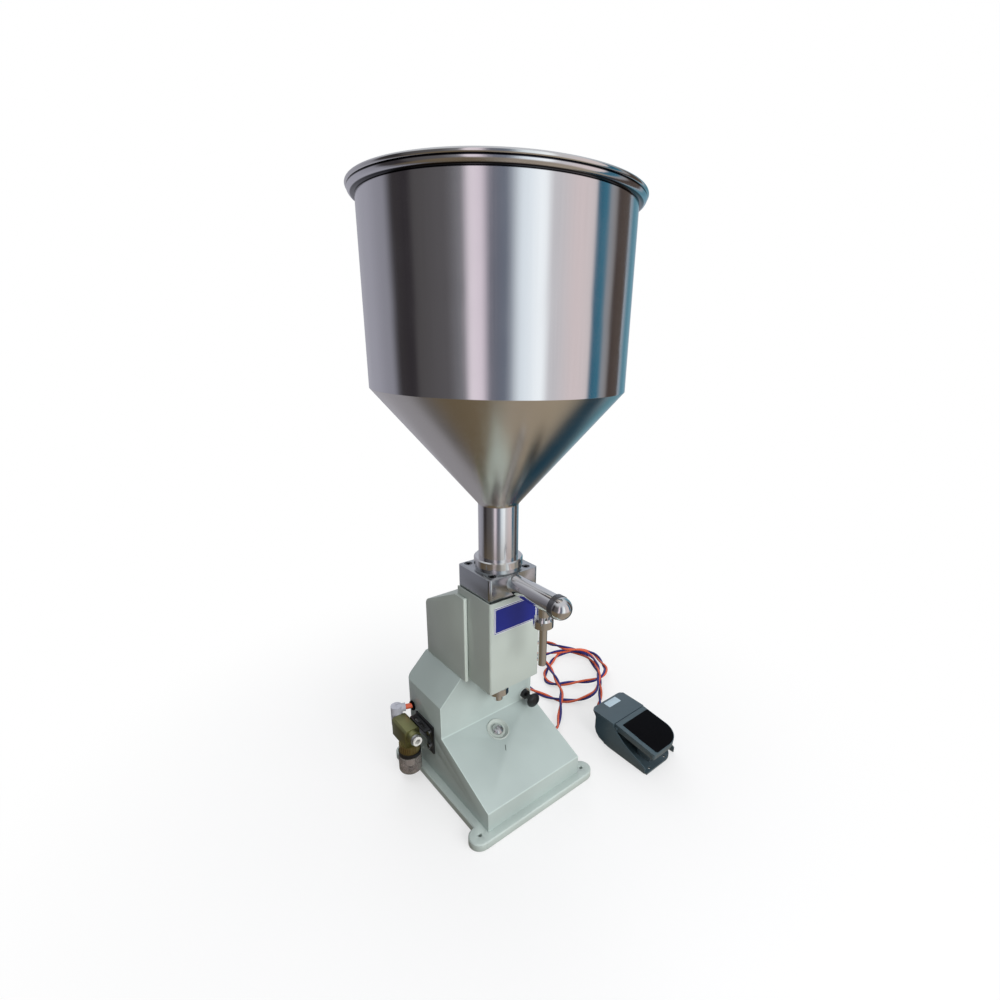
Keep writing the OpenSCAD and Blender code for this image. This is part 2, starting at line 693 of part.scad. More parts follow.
// Outlet tube with the branch for the spout
branch_r = drop_nut_d/2 - 4.5;
branch_z = drop_nut_z + 5;
module outlet_tube() {
    color("#c9cbcd") difference() {
        union() {
            rod_y(outlet_d/2, 0, outlet_z, tube_y0 - collar_len, tube_y1);
            rod_z(branch_r, 0, spout_y, branch_z, outlet_z);
        }
        rod_y(outlet_in, 0, outlet_z, tube_y0 - collar_len - 1, tube_y1 + 1);
        rod_z(branch_r - 1.6, 0, spout_y, branch_z - 1, outlet_z);
    }
}

// Outlet check valve: a disc on its seat in the block, a stem, a guide and a spring
outlet_travel = 5;
disc_t = 3;
guide_y = tube_y1 - 26;
module outlet_poppet() {
    color("#bcbfc2") {
        rod_y(outlet_in - 0.6, 0, outlet_z, tube_y1 - body_gap - disc_t, tube_y1 - body_gap);
        rod_y(2.5, 0, outlet_z, guide_y - 6, tube_y1 - body_gap - disc_t);
    }
}
module outlet_spring() {
    color("#8d9194") difference() {
        rod_y(4.6, 0, outlet_z, guide_y, tube_y1 - body_gap - disc_t);
        rod_y(3.4, 0, outlet_z, guide_y - 1, tube_y1);
    }
}

// Dark collar and domed cap on the tube's end
module outlet_collar() {
    color("#54585a") difference() {
        rod_y(cap_d/2, 0, outlet_z, tube_y0 - collar_len, tube_y0);
        rod_y(outlet_d/2 + push_fit, 0, outlet_z, tube_y0 - collar_len - 1, tube_y0 + 1);
    }
}
module outlet_cap() {
    y = tube_y0 - collar_len;
    r = cap_d/2 - 0.7;
    color("#c9cbcd") difference() {
        union() {
            rod_y(r, 0, outlet_z, y - cap_len + r, y);
            translate([0, y - cap_len + r, outlet_z]) sphere(r);
        }
        rod_y(outlet_in, 0, outlet_z, y - cap_len + r, y + 1);
        rod_y(cap_d, 0, outlet_z, y, y + cap_d);
    }
}

// Drop nut under the tube, with a small side hole, and the spout pipe that it clamps
module drop_nut() {
    color("#c2c4c6") difference() {
        union() {
            rod_z(drop_nut_d/2, 0, spout_y, drop_nut_z, drop_nut_z + drop_nut_h - 3);
            translate([0, spout_y, drop_nut_z + drop_nut_h - 3])
                cylinder(r1=drop_nut_d/2, r2=drop_nut_d/2 - 1.5, h=3);
        }
        rod_z(branch_r + slide_fit, 0, spout_y, branch_z - 3, drop_nut_z + drop_nut_h + 1);
        rod_z(spout_d/2 + slide_fit, 0, spout_y, drop_nut_z - 1, branch_z);
        translate([0, spout_y, drop_nut_z + drop_nut_h - 5]) rotate([90, 0, -52]) cylinder(r=1.5, h=20);
    }
}
module spout_pipe() {
    color("#c9cbcd") difference() {
        union() {
            rod_z(spout_d/2, 0, spout_y, drop_nut_z - spout_len, branch_z);
            rod_z(branch_r - 0.2, 0, spout_y, branch_z - 3, branch_z);
        }
        rod_z(spout_d/2 - 1, 0, spout_y, drop_nut_z - spout_len - 1, branch_z + 1);
    }
}

// Product cylinder: a liner from the air cylinder's cap into the block, with leak windows
module product_cylinder() {
    color("#c9cbcd") difference() {
        rod_z(product_bore/2 + barrel_wall, 0, axis_y, product_z, product_z + product_len);
        rod_z(product_bore/2, 0, axis_y, product_z - 1, product_z + product_len + 1);
        rod_y(3, 0, product_z + 4, axis_y - 40, axis_y + 40);
    }
}
module product_piston() {
    groove = 1.2;
    r = product_bore/2 - slide_fit;
    z = piston_top;
    t = product_piston_t;
    color("#e9e7e0") turned([[rod_d/2 - 1.5, z - t], [r, z - t], [r, z - t + 3], [r - groove, z - t + 3],
        [r - groove, z - t + 5.4], [r, z - t + 5.4], [r, z - 5.4], [r - groove, z - 5.4], [r - groove, z - 3],
        [r, z - 3], [r, z], [rod_d/2 - 1.5, z]]);
}

// Air cylinder: barrel, two square caps, tie rods and piston
module air_barrel() {
    color("#a7adb0") difference() {
        rod_z(air_bore/2 + barrel_wall, 0, axis_y, stack_z + cap_t, top_cap_z);
        rod_z(air_bore/2, 0, axis_y, stack_z + cap_t - 1, top_cap_z + 1);
    }
}
module air_caps() {
    half = cap_w/2;
    color("#7f878b") for (z = [stack_z, top_cap_z]) difference() {
        round_box(-half, half, axis_y - half, axis_y + half, z, z + cap_t, 5);
        rod_z(rod_d/2 + slide_fit, 0, axis_y, z - 1, z + cap_t + 1);
        for (p = tie_rod_places) rod_z(3 + slide_fit, p.x, p.y, z - 1, z + cap_t + 1);
    }
}
module tie_rods() {
    color("#9b9fa0") for (p = tie_rod_places) rod_z(3, p.x, p.y, stack_z, block_z - 3);
}
module air_piston() {
    color("#6d7275") difference() {
        rod_z(air_bore/2 - slide_fit, 0, axis_y, air_piston_z, air_piston_z + air_piston_t);
        rod_z(rod_d/2 + push_fit, 0, axis_y, air_piston_z - 1, air_piston_z + air_piston_t + 1);
    }
}
module piston_rod() {
    color("#d2d4d6") {
        rod_z(rod_d/2, 0, axis_y, rod_end, piston_top - product_piston_t);
        rod_z(rod_d/2 - 1.5 - push_fit, 0, axis_y, rod_end, piston_top);
    }
}
module stroke_nut() {
    z = rod_end + 12.5;
    color("#6b5e52") difference() {
        rod_z(stroke_nut_d/2, 0, axis_y, z, z + 10);
        rod_z(rod_d/2 + push_fit, 0, axis_y, z - 1, z + 11);
    }
}

// Dished seat in the slope, the domed stop bolt and its nut
module stop_seat() {
    r = seat_d/2;
    color("#b3c2ba") on_slope() rotate_extrude($fn=96) polygon([[5 + 0.1, -4], [r - 5.6, -4], [r - 1.2, -0.6],
        [r - 1.2, 0.1], [r, 0.1], [r - 0.5, 0.9], [r - 1.4, 1], [r - 5.4, -2.5], [5 + 0.1, -2.5]]);
}
module stop_bolt() {
    r = stop_d/2;
    rise = 4;
    ball = (r*r + rise*rise)/(2*rise);
    color("#3c4041") on_slope() {
        translate([0, 0, -26]) cylinder(r=5, h=25);
        difference() {
            intersection() {
                translate([0, 0, -2.5 + body_gap]) cylinder(r=r, h=8);
                translate([0, 0, stop_head - ball]) sphere(ball);
            }
            translate([0, 0, stop_head - 2.5]) cylinder(r=3.4, h=4, $fn=6);
        }
    }
}
// Push-pull valve behind the upright front, its panel nut and its knob
spool_r = 2.5;
bush_out = 7.5;
module mode_valve() {
    y0 = front_y + sheet_t;
    color("#22252a") difference() {
        union() {
            box(mode_x - 11, mode_x + 11, y0, y0 + 46, mode_z - 11, mode_z + 11);
            rod_y(7, mode_x, mode_z, front_y - bush_out, y0 + 1);
        }
        rod_y(spool_r + slide_fit, mode_x, mode_z, front_y - bush_out - 1, y0 + 40);
    }
}
module panel_nut() {
    color("#b9bcbe") difference() {
        rod_y(9.6, mode_x, mode_z, front_y - 3.5, front_y);
        rod_y(7 + slide_fit, mode_x, mode_z, front_y - 5, front_y + 1);
    }
}
module mode_knob() {
    r = mode_d/2;
    y = front_y - bush_out - mode_travel - 0.9;
    color("#141416") {
        rod_y(spool_r, mode_x, mode_z, y, front_y + sheet_t + 34);
        translate([mode_x, y, mode_z]) rotate([90, 0, 0]) rotate_extrude()
            polygon(concat([[0, 0], [4.5, 0], [4.5, 4]],
                [for (a = [-50:20:90]) [r*cos(a), 10.3 + 6.2*sin(a)]]));
    }
}

// Air-piloted main valve on the base plate, with its spool
pilot_x = -25;
pilot_y = rear_y - rim_w - 46;
module pilot_valve() {
    z = base_t + 15;
    color("#5c6468") difference() {
        union() {
            box(pilot_x - 14, pilot_x + 14, pilot_y - 36, pilot_y + 36, base_t, base_t + 28);
            for (s = [-1, 1])
                box(pilot_x - 13, pilot_x + 13, pilot_y + s*40 - 4, pilot_y + s*40 + 4,
                    base_t + 1, base_t + 27);
        }
        rod_y(5 + slide_fit, pilot_x, z, pilot_y - 39, pilot_y + 39);
        for (y = [-18, 0, 18]) rod_z(3.2, pilot_x, pilot_y + y, z, base_t + 29);
    }
}
module pilot_spool() {
    z = base_t + 15;
    color("#c2c4c6") {
        rod_y(5, pilot_x, z, pilot_y - 38.5, pilot_y - 24);
        rod_y(5, pilot_x, z, pilot_y - 8, pilot_y + 6);
        rod_y(5, pilot_x, z, pilot_y + 18, pilot_y + 32);
        rod_y(3, pilot_x, z, pilot_y - 30, pilot_y + 28);
    }
}

// Filter: head with its ports, knurled ring, black ring, clear bowl, element and drain
module filter_head() {
    half = head_w/2;
    c = 3;
    color("#70713f") difference() {
        union() {
            front_prism(head_y0, head_y1, [[filter_x - half, head_z0], [filter_x + half, head_z0],
                [filter_x + half, head_top - c], [filter_x + half - c, head_top],
                [filter_x - half + c, head_top], [filter_x - half, head_top - c]]);
            rod_y(9.8, filter_x, port_z, head_y0 - 8, head_y0 + 1);
            rod_z(neck_r, filter_x, filter_y, head_z0 - 16, head_z0);
        }
        rod_y(8.2 + push_fit, filter_x, port_z, head_y0 - 9, head_y0 - 2);
        rod_y(5.5, filter_x, port_z, head_y0 - 3, filter_y);
        rod_y(4.5, elbow_x, port_z, filter_y + 4, head_y1 + 1);
        rod_z(4.5, filter_x, filter_y, head_z0 - 17, port_z);
    }
}
module knurled_ring() {
    ribs = 28;
    r = bowl_d/2;
    color("#9a8a4a") difference() {
        rod_z(r, filter_x, filter_y, knurl_z, head_z0 - 0.2);
        rod_z(neck_r + push_fit, filter_x, filter_y, knurl_z - 1, head_z0 + 1);
        for (i = [0:ribs - 1]) translate([filter_x, filter_y, knurl_z + 1.5]) rotate([0, 0, i*360/ribs])
            translate([r + 0.3, 0, 0]) cylinder(r=1, h=knurl_h - 3, $fn=16);
    }
}
module bowl_ring() {
    color("#141416") difference() {
        rod_z(bowl_d/2 + 1.2, filter_x, filter_y, bowl_ring_z, knurl_z);
        rod_z(bowl_d/2 + push_fit, filter_x, filter_y, bowl_ring_z - 1, bowl_ring_z + 3.5);
        rod_z(neck_r + push_fit, filter_x, filter_y, bowl_ring_z - 1, knurl_z + 1);
    }
}
module filter_bowl() {
    r = bowl_d/2;
    low = r + 1.6;
    t = 1.6;
    color([0.45, 0.42, 0.4, 0.5]) translate([filter_x, filter_y, 0]) rotate_extrude($fn=96) polygon([
        [3, bowl_z], [low - 3, bowl_z], [low - 0.9, bowl_z + 0.9], [low, bowl_z + 3],
        [low, bowl_ring_z - 3.4], [low - 0.5, bowl_ring_z - 1.4], [r, bowl_ring_z - 0.4],
        [r, bowl_ring_z + 3.5],
        [r - t, bowl_ring_z + 3.5], [r - t, bowl_ring_z - 1.4], [low - t, bowl_ring_z - 3.4],
        [low - t, bowl_z + 3.4], [low - t - 1.8, bowl_z + t], [3, bowl_z + t]]);
}
module filter_element() {
    color("#e6e2d6") difference() {
        rod_z(6.5, filter_x, filter_y, bowl_z + 8, head_z0 - 16);
        rod_z(3, filter_x, filter_y, bowl_z + 11, head_z0 - 15);
    }
}
module drain_valve() {
    color("#2a2420") {
        rod_z(4.2, filter_x, filter_y, bowl_z - 5.5, bowl_z - body_gap);
        rod_z(3 - slide_fit, filter_x, filter_y, bowl_z - 2, bowl_z + 4);
    }
}

// Slotted bracket between the body's side and the filter's head
bracket_t = 2.5;
bracket_screw_y = head_y0 - 11;
bracket_screw_levels = [head_top - 32, head_top - 8];
module filter_bracket() {
    x0 = -body_w/2 - bracket_t;
    x1 = -body_w/2;
    y0 = head_y0 - 20;
    x2 = filter_x + head_w/2;
    color("#26292b") difference() {
        union() {
            box(x0, x1, y0, head_y0 + 28, head_top - 26, head_top + 4);
            box(x0, x1, y0, y0 + 17, head_top - 42, head_top + 4);
            box(x2, x1, head_y0 - 14, head_y0 + 28, head_top - 3.4, head_top - 0.9);
        }
        for (y = [head_y0 - 6, head_y0 + 10]) box(x2 + 3, x0 - 3, y, y + 11, head_top - 8, head_top);
        for (z = bracket_screw_levels) rod_x(screw_r + slide_fit, bracket_screw_y, z, x0 - 1, x1 + 1);
    }
}

// Push-in inlet: dark insert and pale release collet
module inlet_fitting() {
    color("#3d423c") difference() {
        rod_y(8.2, filter_x, port_z, head_y0 - 12, head_y0 - 2);
        rod_y(5.1 + slide_fit, filter_x, port_z, head_y0 - 13, head_y0 - 1);
    }
}
module inlet_collet() {
    color("#e4e2dc") difference() {
        union() {
            rod_y(5.1, filter_x, port_z, head_y0 - 14, head_y0 - 4);
            rod_y(6.75, filter_x, port_z, head_y0 - 15.6, head_y0 - 13.6);
        }
        rod_y(inlet_d/2, filter_x, port_z, head_y0 - 17, head_y0 - 3);
    }
}

// Outlet elbow behind the head, the short supply tube and the grommet it passes through
module outlet_elbow() {
    color("#c4c4cb") {
        rod_z(8.5, elbow_x, elbow_y, port_z - 9, supply_z + 5);
        rod_y(6, elbow_x, port_z, head_y1, elbow_y);
        along_supply() rod_x(6.2, 0, 0, 0, 13);
    }
}
module supply_tube() {
    len = (-body_w/2 - elbow_x)/cos(elbow_a);
    color("#e5502e") along_supply() rod_x(supply_r, 0, 0, 13, len + 6);
}
module rubber_glands() {
    color("#141416") {
        difference() {
            union() {
                rod_x(7.25, grommet_y, supply_z, -body_w/2 - 2.5, -body_w/2);
                rod_x(6.15, grommet_y, supply_z, -body_w/2 - 1, -body_w/2 + sheet_t + 1);
            }
            along_supply() rod_x(supply_r + push_fit, 0, 0, 10, 40);
        }
        rod_x(6, body_gland.y, body_gland.z, body_w/2 - sheet_t - 2, body_w/2);
        translate([body_w/2, body_gland.y, body_gland.z]) rotate([0, 90, 0]) cylinder(r1=8, r2=5.5, h=11);
        rod_y(7, pedal_gland.x, pedal_gland.z, pedal_wall_y, pedal_wall_y + 8);
        rod_y(5, pedal_gland.x, pedal_gland.z, pedal_wall_y - 4, pedal_wall_y + 1);
    }
}

// A tube of radius r swept along a list of points, with flat ends square to the first and last run
function unit(v) = v/norm(v);
function run_dir(p, i) = i == 0 ? unit(p[1] - p[0]) : i == len(p) - 1 ? unit(p[i] - p[i - 1]) :
    unit(unit(p[i + 1] - p[i]) + unit(p[i] - p[i - 1]));
function side_of(d) = unit(cross(d, abs(d.z) > 0.9 ? [1, 0, 0] : [0, 0, 1]));
function ring_points(c, d, r, n) = let (u = side_of(d), v = cross(u, d))
    [for (k = [0:n - 1]) c + r*(cos(360*k/n)*u + sin(360*k/n)*v)];
function between(a, b, c, d, t) =
    0.5*(2*b + (c - a)*t + (2*a - 5*b + 4*c - d)*t*t + (3*b - a - 3*c + d)*t*t*t);
function smooth(p, count) = let (last = len(p) - 1) concat(
    [for (i = [0:count - 1]) let (u = i*last/count, k = floor(u))
        between(k == 0 ? 2*p[0] - p[1] : p[k - 1], p[k], p[k + 1],
            k == last - 1 ? 2*p[last] - p[last - 1] : p[k + 2], u - k)],
    [p[last]]);
module swept(p, r, n) {
    m = len(p);
    rings = [for (i = [0:m - 1]) ring_points(p[i], run_dir(p, i), r, n)];
    sides = [for (i = [0:m - 2], k = [0:n - 1]) let (a = i*n + k, b = i*n + (k + 1)%n) each
        [[a, b + n, b], [a, a + n, b + n]]];
    ends = [[for (k = [0:n - 1]) k], [for (k = [n - 1:-1:0]) (m - 1)*n + k]];
    polyhedron(points=[for (ring = rings) each ring], faces=concat(sides, ends));
}
module hose_pair() {
    color("#c8512c") swept(smooth(hose_route, 76), hose_d/2, 8);
}

// Pedal: floor plate, folded housing with its hinge pin, treadle and pad
module pedal_base() {
    y0 = treadle_y0 + 9;
    x0 = pedal_x + wall_t;
    x1 = pedal_right - wall_t;
    r = 24;
    color("#3b4442") difference() {
        translate([0, 0, 0]) linear_extrude(pedal_base_t) {
            translate([x0, y0]) square([x1 - x0 - r, pedal_rear - 30 - y0]);
            translate([x0, y0 + r]) square([x1 - x0, pedal_rear - 30 - y0 - r]);
            translate([x1 - r, y0 + r]) circle(r);
        }
        for (p = [[x0 + 12, y0 + 5], [x0 + 50, y0 + 6]]) rod_z(2.2, p.x, p.y, -1, pedal_base_t + 1);
    }
}
function housing_side() = [[pedal_rear - 4, pedal_h], [pedal_wall_y, pedal_h - 9], [pedal_wall_y, 20],
    [pedal_wall_y - 3, 12], [pedal_wall_y - 10, 6], [pedal_wall_y - 20, 3.2], [pedal_wall_y - 30, 0.6],
    [pedal_front - 66, 0.6], [pedal_front - 66, 10], [pedal_front - 54, 15.6], [pedal_front - 34, 22],
    [pedal_front - 24, 26.5], [pedal_front - 11, 35], [pedal_front - 4, 40], [pedal_front + 2, 49],
    [pedal_front + 3, pedal_h]];
module pedal_housing() {
    t = wall_t;
    color("#4b5654") difference() {
        union() {
            side_prism(pedal_x, pedal_x + t, housing_side());
            side_prism(pedal_right - t, pedal_right, housing_side());
            intersection() {
                box(pedal_x, pedal_right, pedal_front, pedal_rear, pedal_h - 4, pedal_h);
                translate([0, 0, pedal_h - 9]) linear_extrude(10)
                    round_rect(pedal_x, pedal_right, pedal_front - 20, pedal_rear, 9);
            }
            side_prism(pedal_x, pedal_right, [[pedal_wall_y, pedal_h - 2], [pedal_wall_y - t, pedal_h - 2],
                [pedal_wall_y - t, 20], [pedal_wall_y - 3 - t, 12.6], [pedal_wall_y - 10 - t, 7],
                [pedal_wall_y - 20, 4.8], [pedal_wall_y - 20, 3.2], [pedal_wall_y - 10, 6],
                [pedal_wall_y - 3, 12], [pedal_wall_y, 20]]);
        }
        rod_y(5 + push_fit, pedal_gland.x, pedal_gland.z, pedal_wall_y - 4, pedal_wall_y + 1);
        rod_x(pivot_r + push_fit, pivot_y, pivot_z, pedal_x - 1, pedal_right + 1);
    }
}
module pedal_pin() {
    color("#8d9194") rod_x(pivot_r, pivot_y, pivot_z, pedal_x, pedal_right);
}
module treadle_plan(left, edge, rear) {
    x0 = treadle_x0 + left;
    x1 = treadle_x1 - edge;
    y0 = treadle_y0 + edge;
    y1 = treadle_y1 - rear;
    r = treadle_r - edge;
    s = 3;
    translate([x0 + s, y0]) square([x1 - x0 - r - s, y1 - y0]);
    translate([x0, y0 + s]) square([x1 - x0 - r, y1 - y0 - s]);
    translate([x0, y0 + r]) square([x1 - x0, y1 - y0 - r]);
    translate([x0 + s, y0 + s]) circle(s);
    translate([x1 - r, y0 + r]) circle(r);
}
module on_pivot() {
    translate([0, pivot_y, pivot_z]) rotate([treadle_tilt, 0, 0])
        translate([0, -pivot_y, -pivot_z]) children();
}
skirt_t = 2;
module pedal_treadle() {
    color("#56615f") on_pivot() difference() {
        union() {
            translate([0, 0, pedal_h - 4]) linear_extrude(4) treadle_plan(0, 0, 0);
            difference() {
                translate([0, 0, pedal_h - 10]) linear_extrude(7) treadle_plan(0, 0, 0);
                translate([0, 0, pedal_h - 11]) linear_extrude(9) treadle_plan(skirt_t, skirt_t, skirt_t);
                box(pedal_x, pedal_right, treadle_y1 - 6, treadle_y1 + 1, 0, pedal_h - 4);
            }
            for (x = [treadle_x0, treadle_x1 - 3]) rod_x(5, pivot_y, pivot_z, x, x + 3);
        }
        rod_x(pivot_r + slide_fit, pivot_y, pivot_z, pedal_x, pedal_right);
        translate([0, 0, pedal_h - 1]) linear_extrude(2) treadle_plan(pad_left, pad_edge, pad_rear);
    }
}
module pedal_pad() {
    color("#161718") on_pivot() translate([0, 0, pedal_h - 1]) linear_extrude(1.6)
        treadle_plan(pad_left + push_fit, pad_edge + push_fit, pad_rear + push_fit);
}

// Valve under the treadle and its plunger with the return spring's cup
module pedal_valve() {
    color("#6f777a") difference() {
        box(plunger_x - 13, plunger_x + 13, plunger_y - 12, plunger_y + 12, pedal_base_t, pedal_valve_z1);
        rod_z(plunger_r + slide_fit, plunger_x, plunger_y, 10, pedal_valve_z1 + 1);
    }
}
module pedal_plunger() {
    tip = 6;
    under = pedal_h - 4 - pivot_z;
    reach = (pivot_y - plunger_y)*sin(treadle_tilt);
    z = pivot_z + (under - tip - body_gap - reach)/cos(treadle_tilt) + tip;
    color("#b0b3b5") intersection() {
        rod_z(plunger_r, plunger_x, plunger_y, 18, z);
        translate([plunger_x, plunger_y, 0]) rotate_extrude() polygon(concat([[0, 17], [plunger_r + 1, 17]],
            [for (a = [40:5:85]) [tip*cos(a), z - tip + tip*sin(a)]], [[0, z]]));
    }
}

base_plate();
body_shell();
body_screws();
body_nuts();
rear_hood();
column_cover();
name_plate();
column_frame();
valve_block();
block_screws();
hopper();
hopper_seal();
hopper_ring();
hopper_lid();
lid_knob();
inlet_poppet();
stem_guides();
inlet_spring();
outlet_tube();
outlet_poppet();
outlet_spring();
outlet_collar();
outlet_cap();
drop_nut();
spout_pipe();
product_cylinder();
product_piston();
air_barrel();
air_caps();
tie_rods();
air_piston();
piston_rod();
stroke_nut();
stop_seat();
stop_bolt();
mode_valve();
panel_nut();
mode_knob();
pilot_valve();
pilot_spool();
filter_head();
knurled_ring();
bowl_ring();
filter_bowl();
filter_element();
drain_valve();
filter_bracket();
inlet_fitting();
inlet_collet();
outlet_elbow();
supply_tube();
rubber_glands();
hose_pair();
pedal_base();
pedal_housing();
pedal_pin();
pedal_treadle();
pedal_pad();
pedal_valve();
pedal_plunger();
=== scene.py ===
"""Looks of a bench filling machine: camera, light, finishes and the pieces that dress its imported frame."""

import logging
import math
from dataclasses import dataclass
from enum import Enum
from typing import Any, Optional, Sequence, Union

import bmesh
import bpy
import numpy as np
from mathutils import Matrix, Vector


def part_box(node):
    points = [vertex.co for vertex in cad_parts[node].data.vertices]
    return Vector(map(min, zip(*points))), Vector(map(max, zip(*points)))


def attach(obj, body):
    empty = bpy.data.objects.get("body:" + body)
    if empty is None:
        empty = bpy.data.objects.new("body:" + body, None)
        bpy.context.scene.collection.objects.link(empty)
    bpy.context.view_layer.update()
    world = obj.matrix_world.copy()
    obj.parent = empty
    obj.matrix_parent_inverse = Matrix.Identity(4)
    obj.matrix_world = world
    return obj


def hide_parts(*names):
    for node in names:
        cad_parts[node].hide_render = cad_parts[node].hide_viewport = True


Array = np.ndarray
Triple = tuple[float, float, float]
Colour = Triple
Segment = tuple[Triple, Triple]
Tones = tuple[tuple[float, Colour], ...]

log = logging.getLogger("filling_machine")
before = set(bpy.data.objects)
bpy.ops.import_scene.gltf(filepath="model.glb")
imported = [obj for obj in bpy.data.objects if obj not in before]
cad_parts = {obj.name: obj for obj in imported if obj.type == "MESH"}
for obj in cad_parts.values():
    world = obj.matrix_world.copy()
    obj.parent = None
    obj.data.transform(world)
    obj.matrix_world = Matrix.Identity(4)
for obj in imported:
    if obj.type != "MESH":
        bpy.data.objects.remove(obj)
FULL_TURN = 2 * math.pi

# The hopper stands upright over x = 0 and y = AXIS_Y. Painted shadow lines run round its rim at the two heights
# given below: under the rim's outward step and in the gap under the lid.
AXIS_Y = -0.0155
HOPPER_SIDES = 192
RIM_SHADOW_LINES = (0.7437, 0.7494)

BOWL_CENTRE = tuple(float(sum(c) / 2) for c in zip(*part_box("knurled_ring")))[:2]
LABEL_LOW, LABEL_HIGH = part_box("name_plate")
LABEL_MIDDLE = ((LABEL_LOW[0] + LABEL_HIGH[0]) / 2, (LABEL_LOW[2] + LABEL_HIGH[2]) / 2)
LABEL_HALF = ((LABEL_HIGH[0] - LABEL_LOW[0]) / 2, (LABEL_HIGH[2] - LABEL_LOW[2]) / 2)

# Painted highlights along the folds of the painted sheets, and a scratch, as straight lines. The body's slope
# and shoulder are (y, z) places.
LEFT, RIGHT = -0.0812, 0.0812
SLOPE_TOP, SLOPE_FOOT, SHOULDER = (0.0078, 0.0848), (-0.1025, 0.0404), (0.0078, 0.1354)
BODY_HIGHLIGHT_LINES: tuple[Segment, ...] = (
    ((LEFT, *SLOPE_TOP), (RIGHT, *SLOPE_TOP)),
    ((LEFT, *SLOPE_FOOT), (RIGHT, *SLOPE_FOOT)),
    ((LEFT, *SLOPE_TOP), (LEFT, *SLOPE_FOOT)),
    ((LEFT, *SLOPE_TOP), (LEFT, *SHOULDER)),
    ((LEFT, *SHOULDER), (-0.0470, 0.0078, 0.1696)),
)
# A painted highlight down the hood's front flange, which lies in shade.
HOOD_HIGHLIGHT_LINES: tuple[Segment, ...] = (((-0.0442, -0.0031, 0.1720), (-0.0442, -0.0031, 0.2945)),)
BODY_SCRATCH: tuple[Segment, ...] = (((-0.005, -0.0395, 0.066), (-0.009, -0.046, 0.063)),)


# Shader graphs


class Sock:
    """One output of a shader graph, with arithmetic that adds Math nodes."""

    def __init__(self, graph: "Graph", socket: bpy.types.NodeSocket) -> None:
        """Keeps the graph and the socket that this value comes from."""
        self.graph = graph
        self.socket = socket

    def __add__(self, other: "Value") -> "Sock":
        """This value plus another."""
        return self.graph.maths("ADD", self, other)

    def __sub__(self, other: "Value") -> "Sock":
        """This value less another."""
        return self.graph.maths("SUBTRACT", self, other)

    def __rsub__(self, other: "Value") -> "Sock":
        """Another value less this one."""
        return self.graph.maths("SUBTRACT", other, self)

    def __mul__(self, other: "Value") -> "Sock":
        """This value times another."""
        return self.graph.maths("MULTIPLY", self, other)

    def __truediv__(self, other: "Value") -> "Sock":
        """This value over another."""
        return self.graph.maths("DIVIDE", self, other)

    __radd__ = __add__
    __rmul__ = __mul__


Value = Union[Sock, float, int]


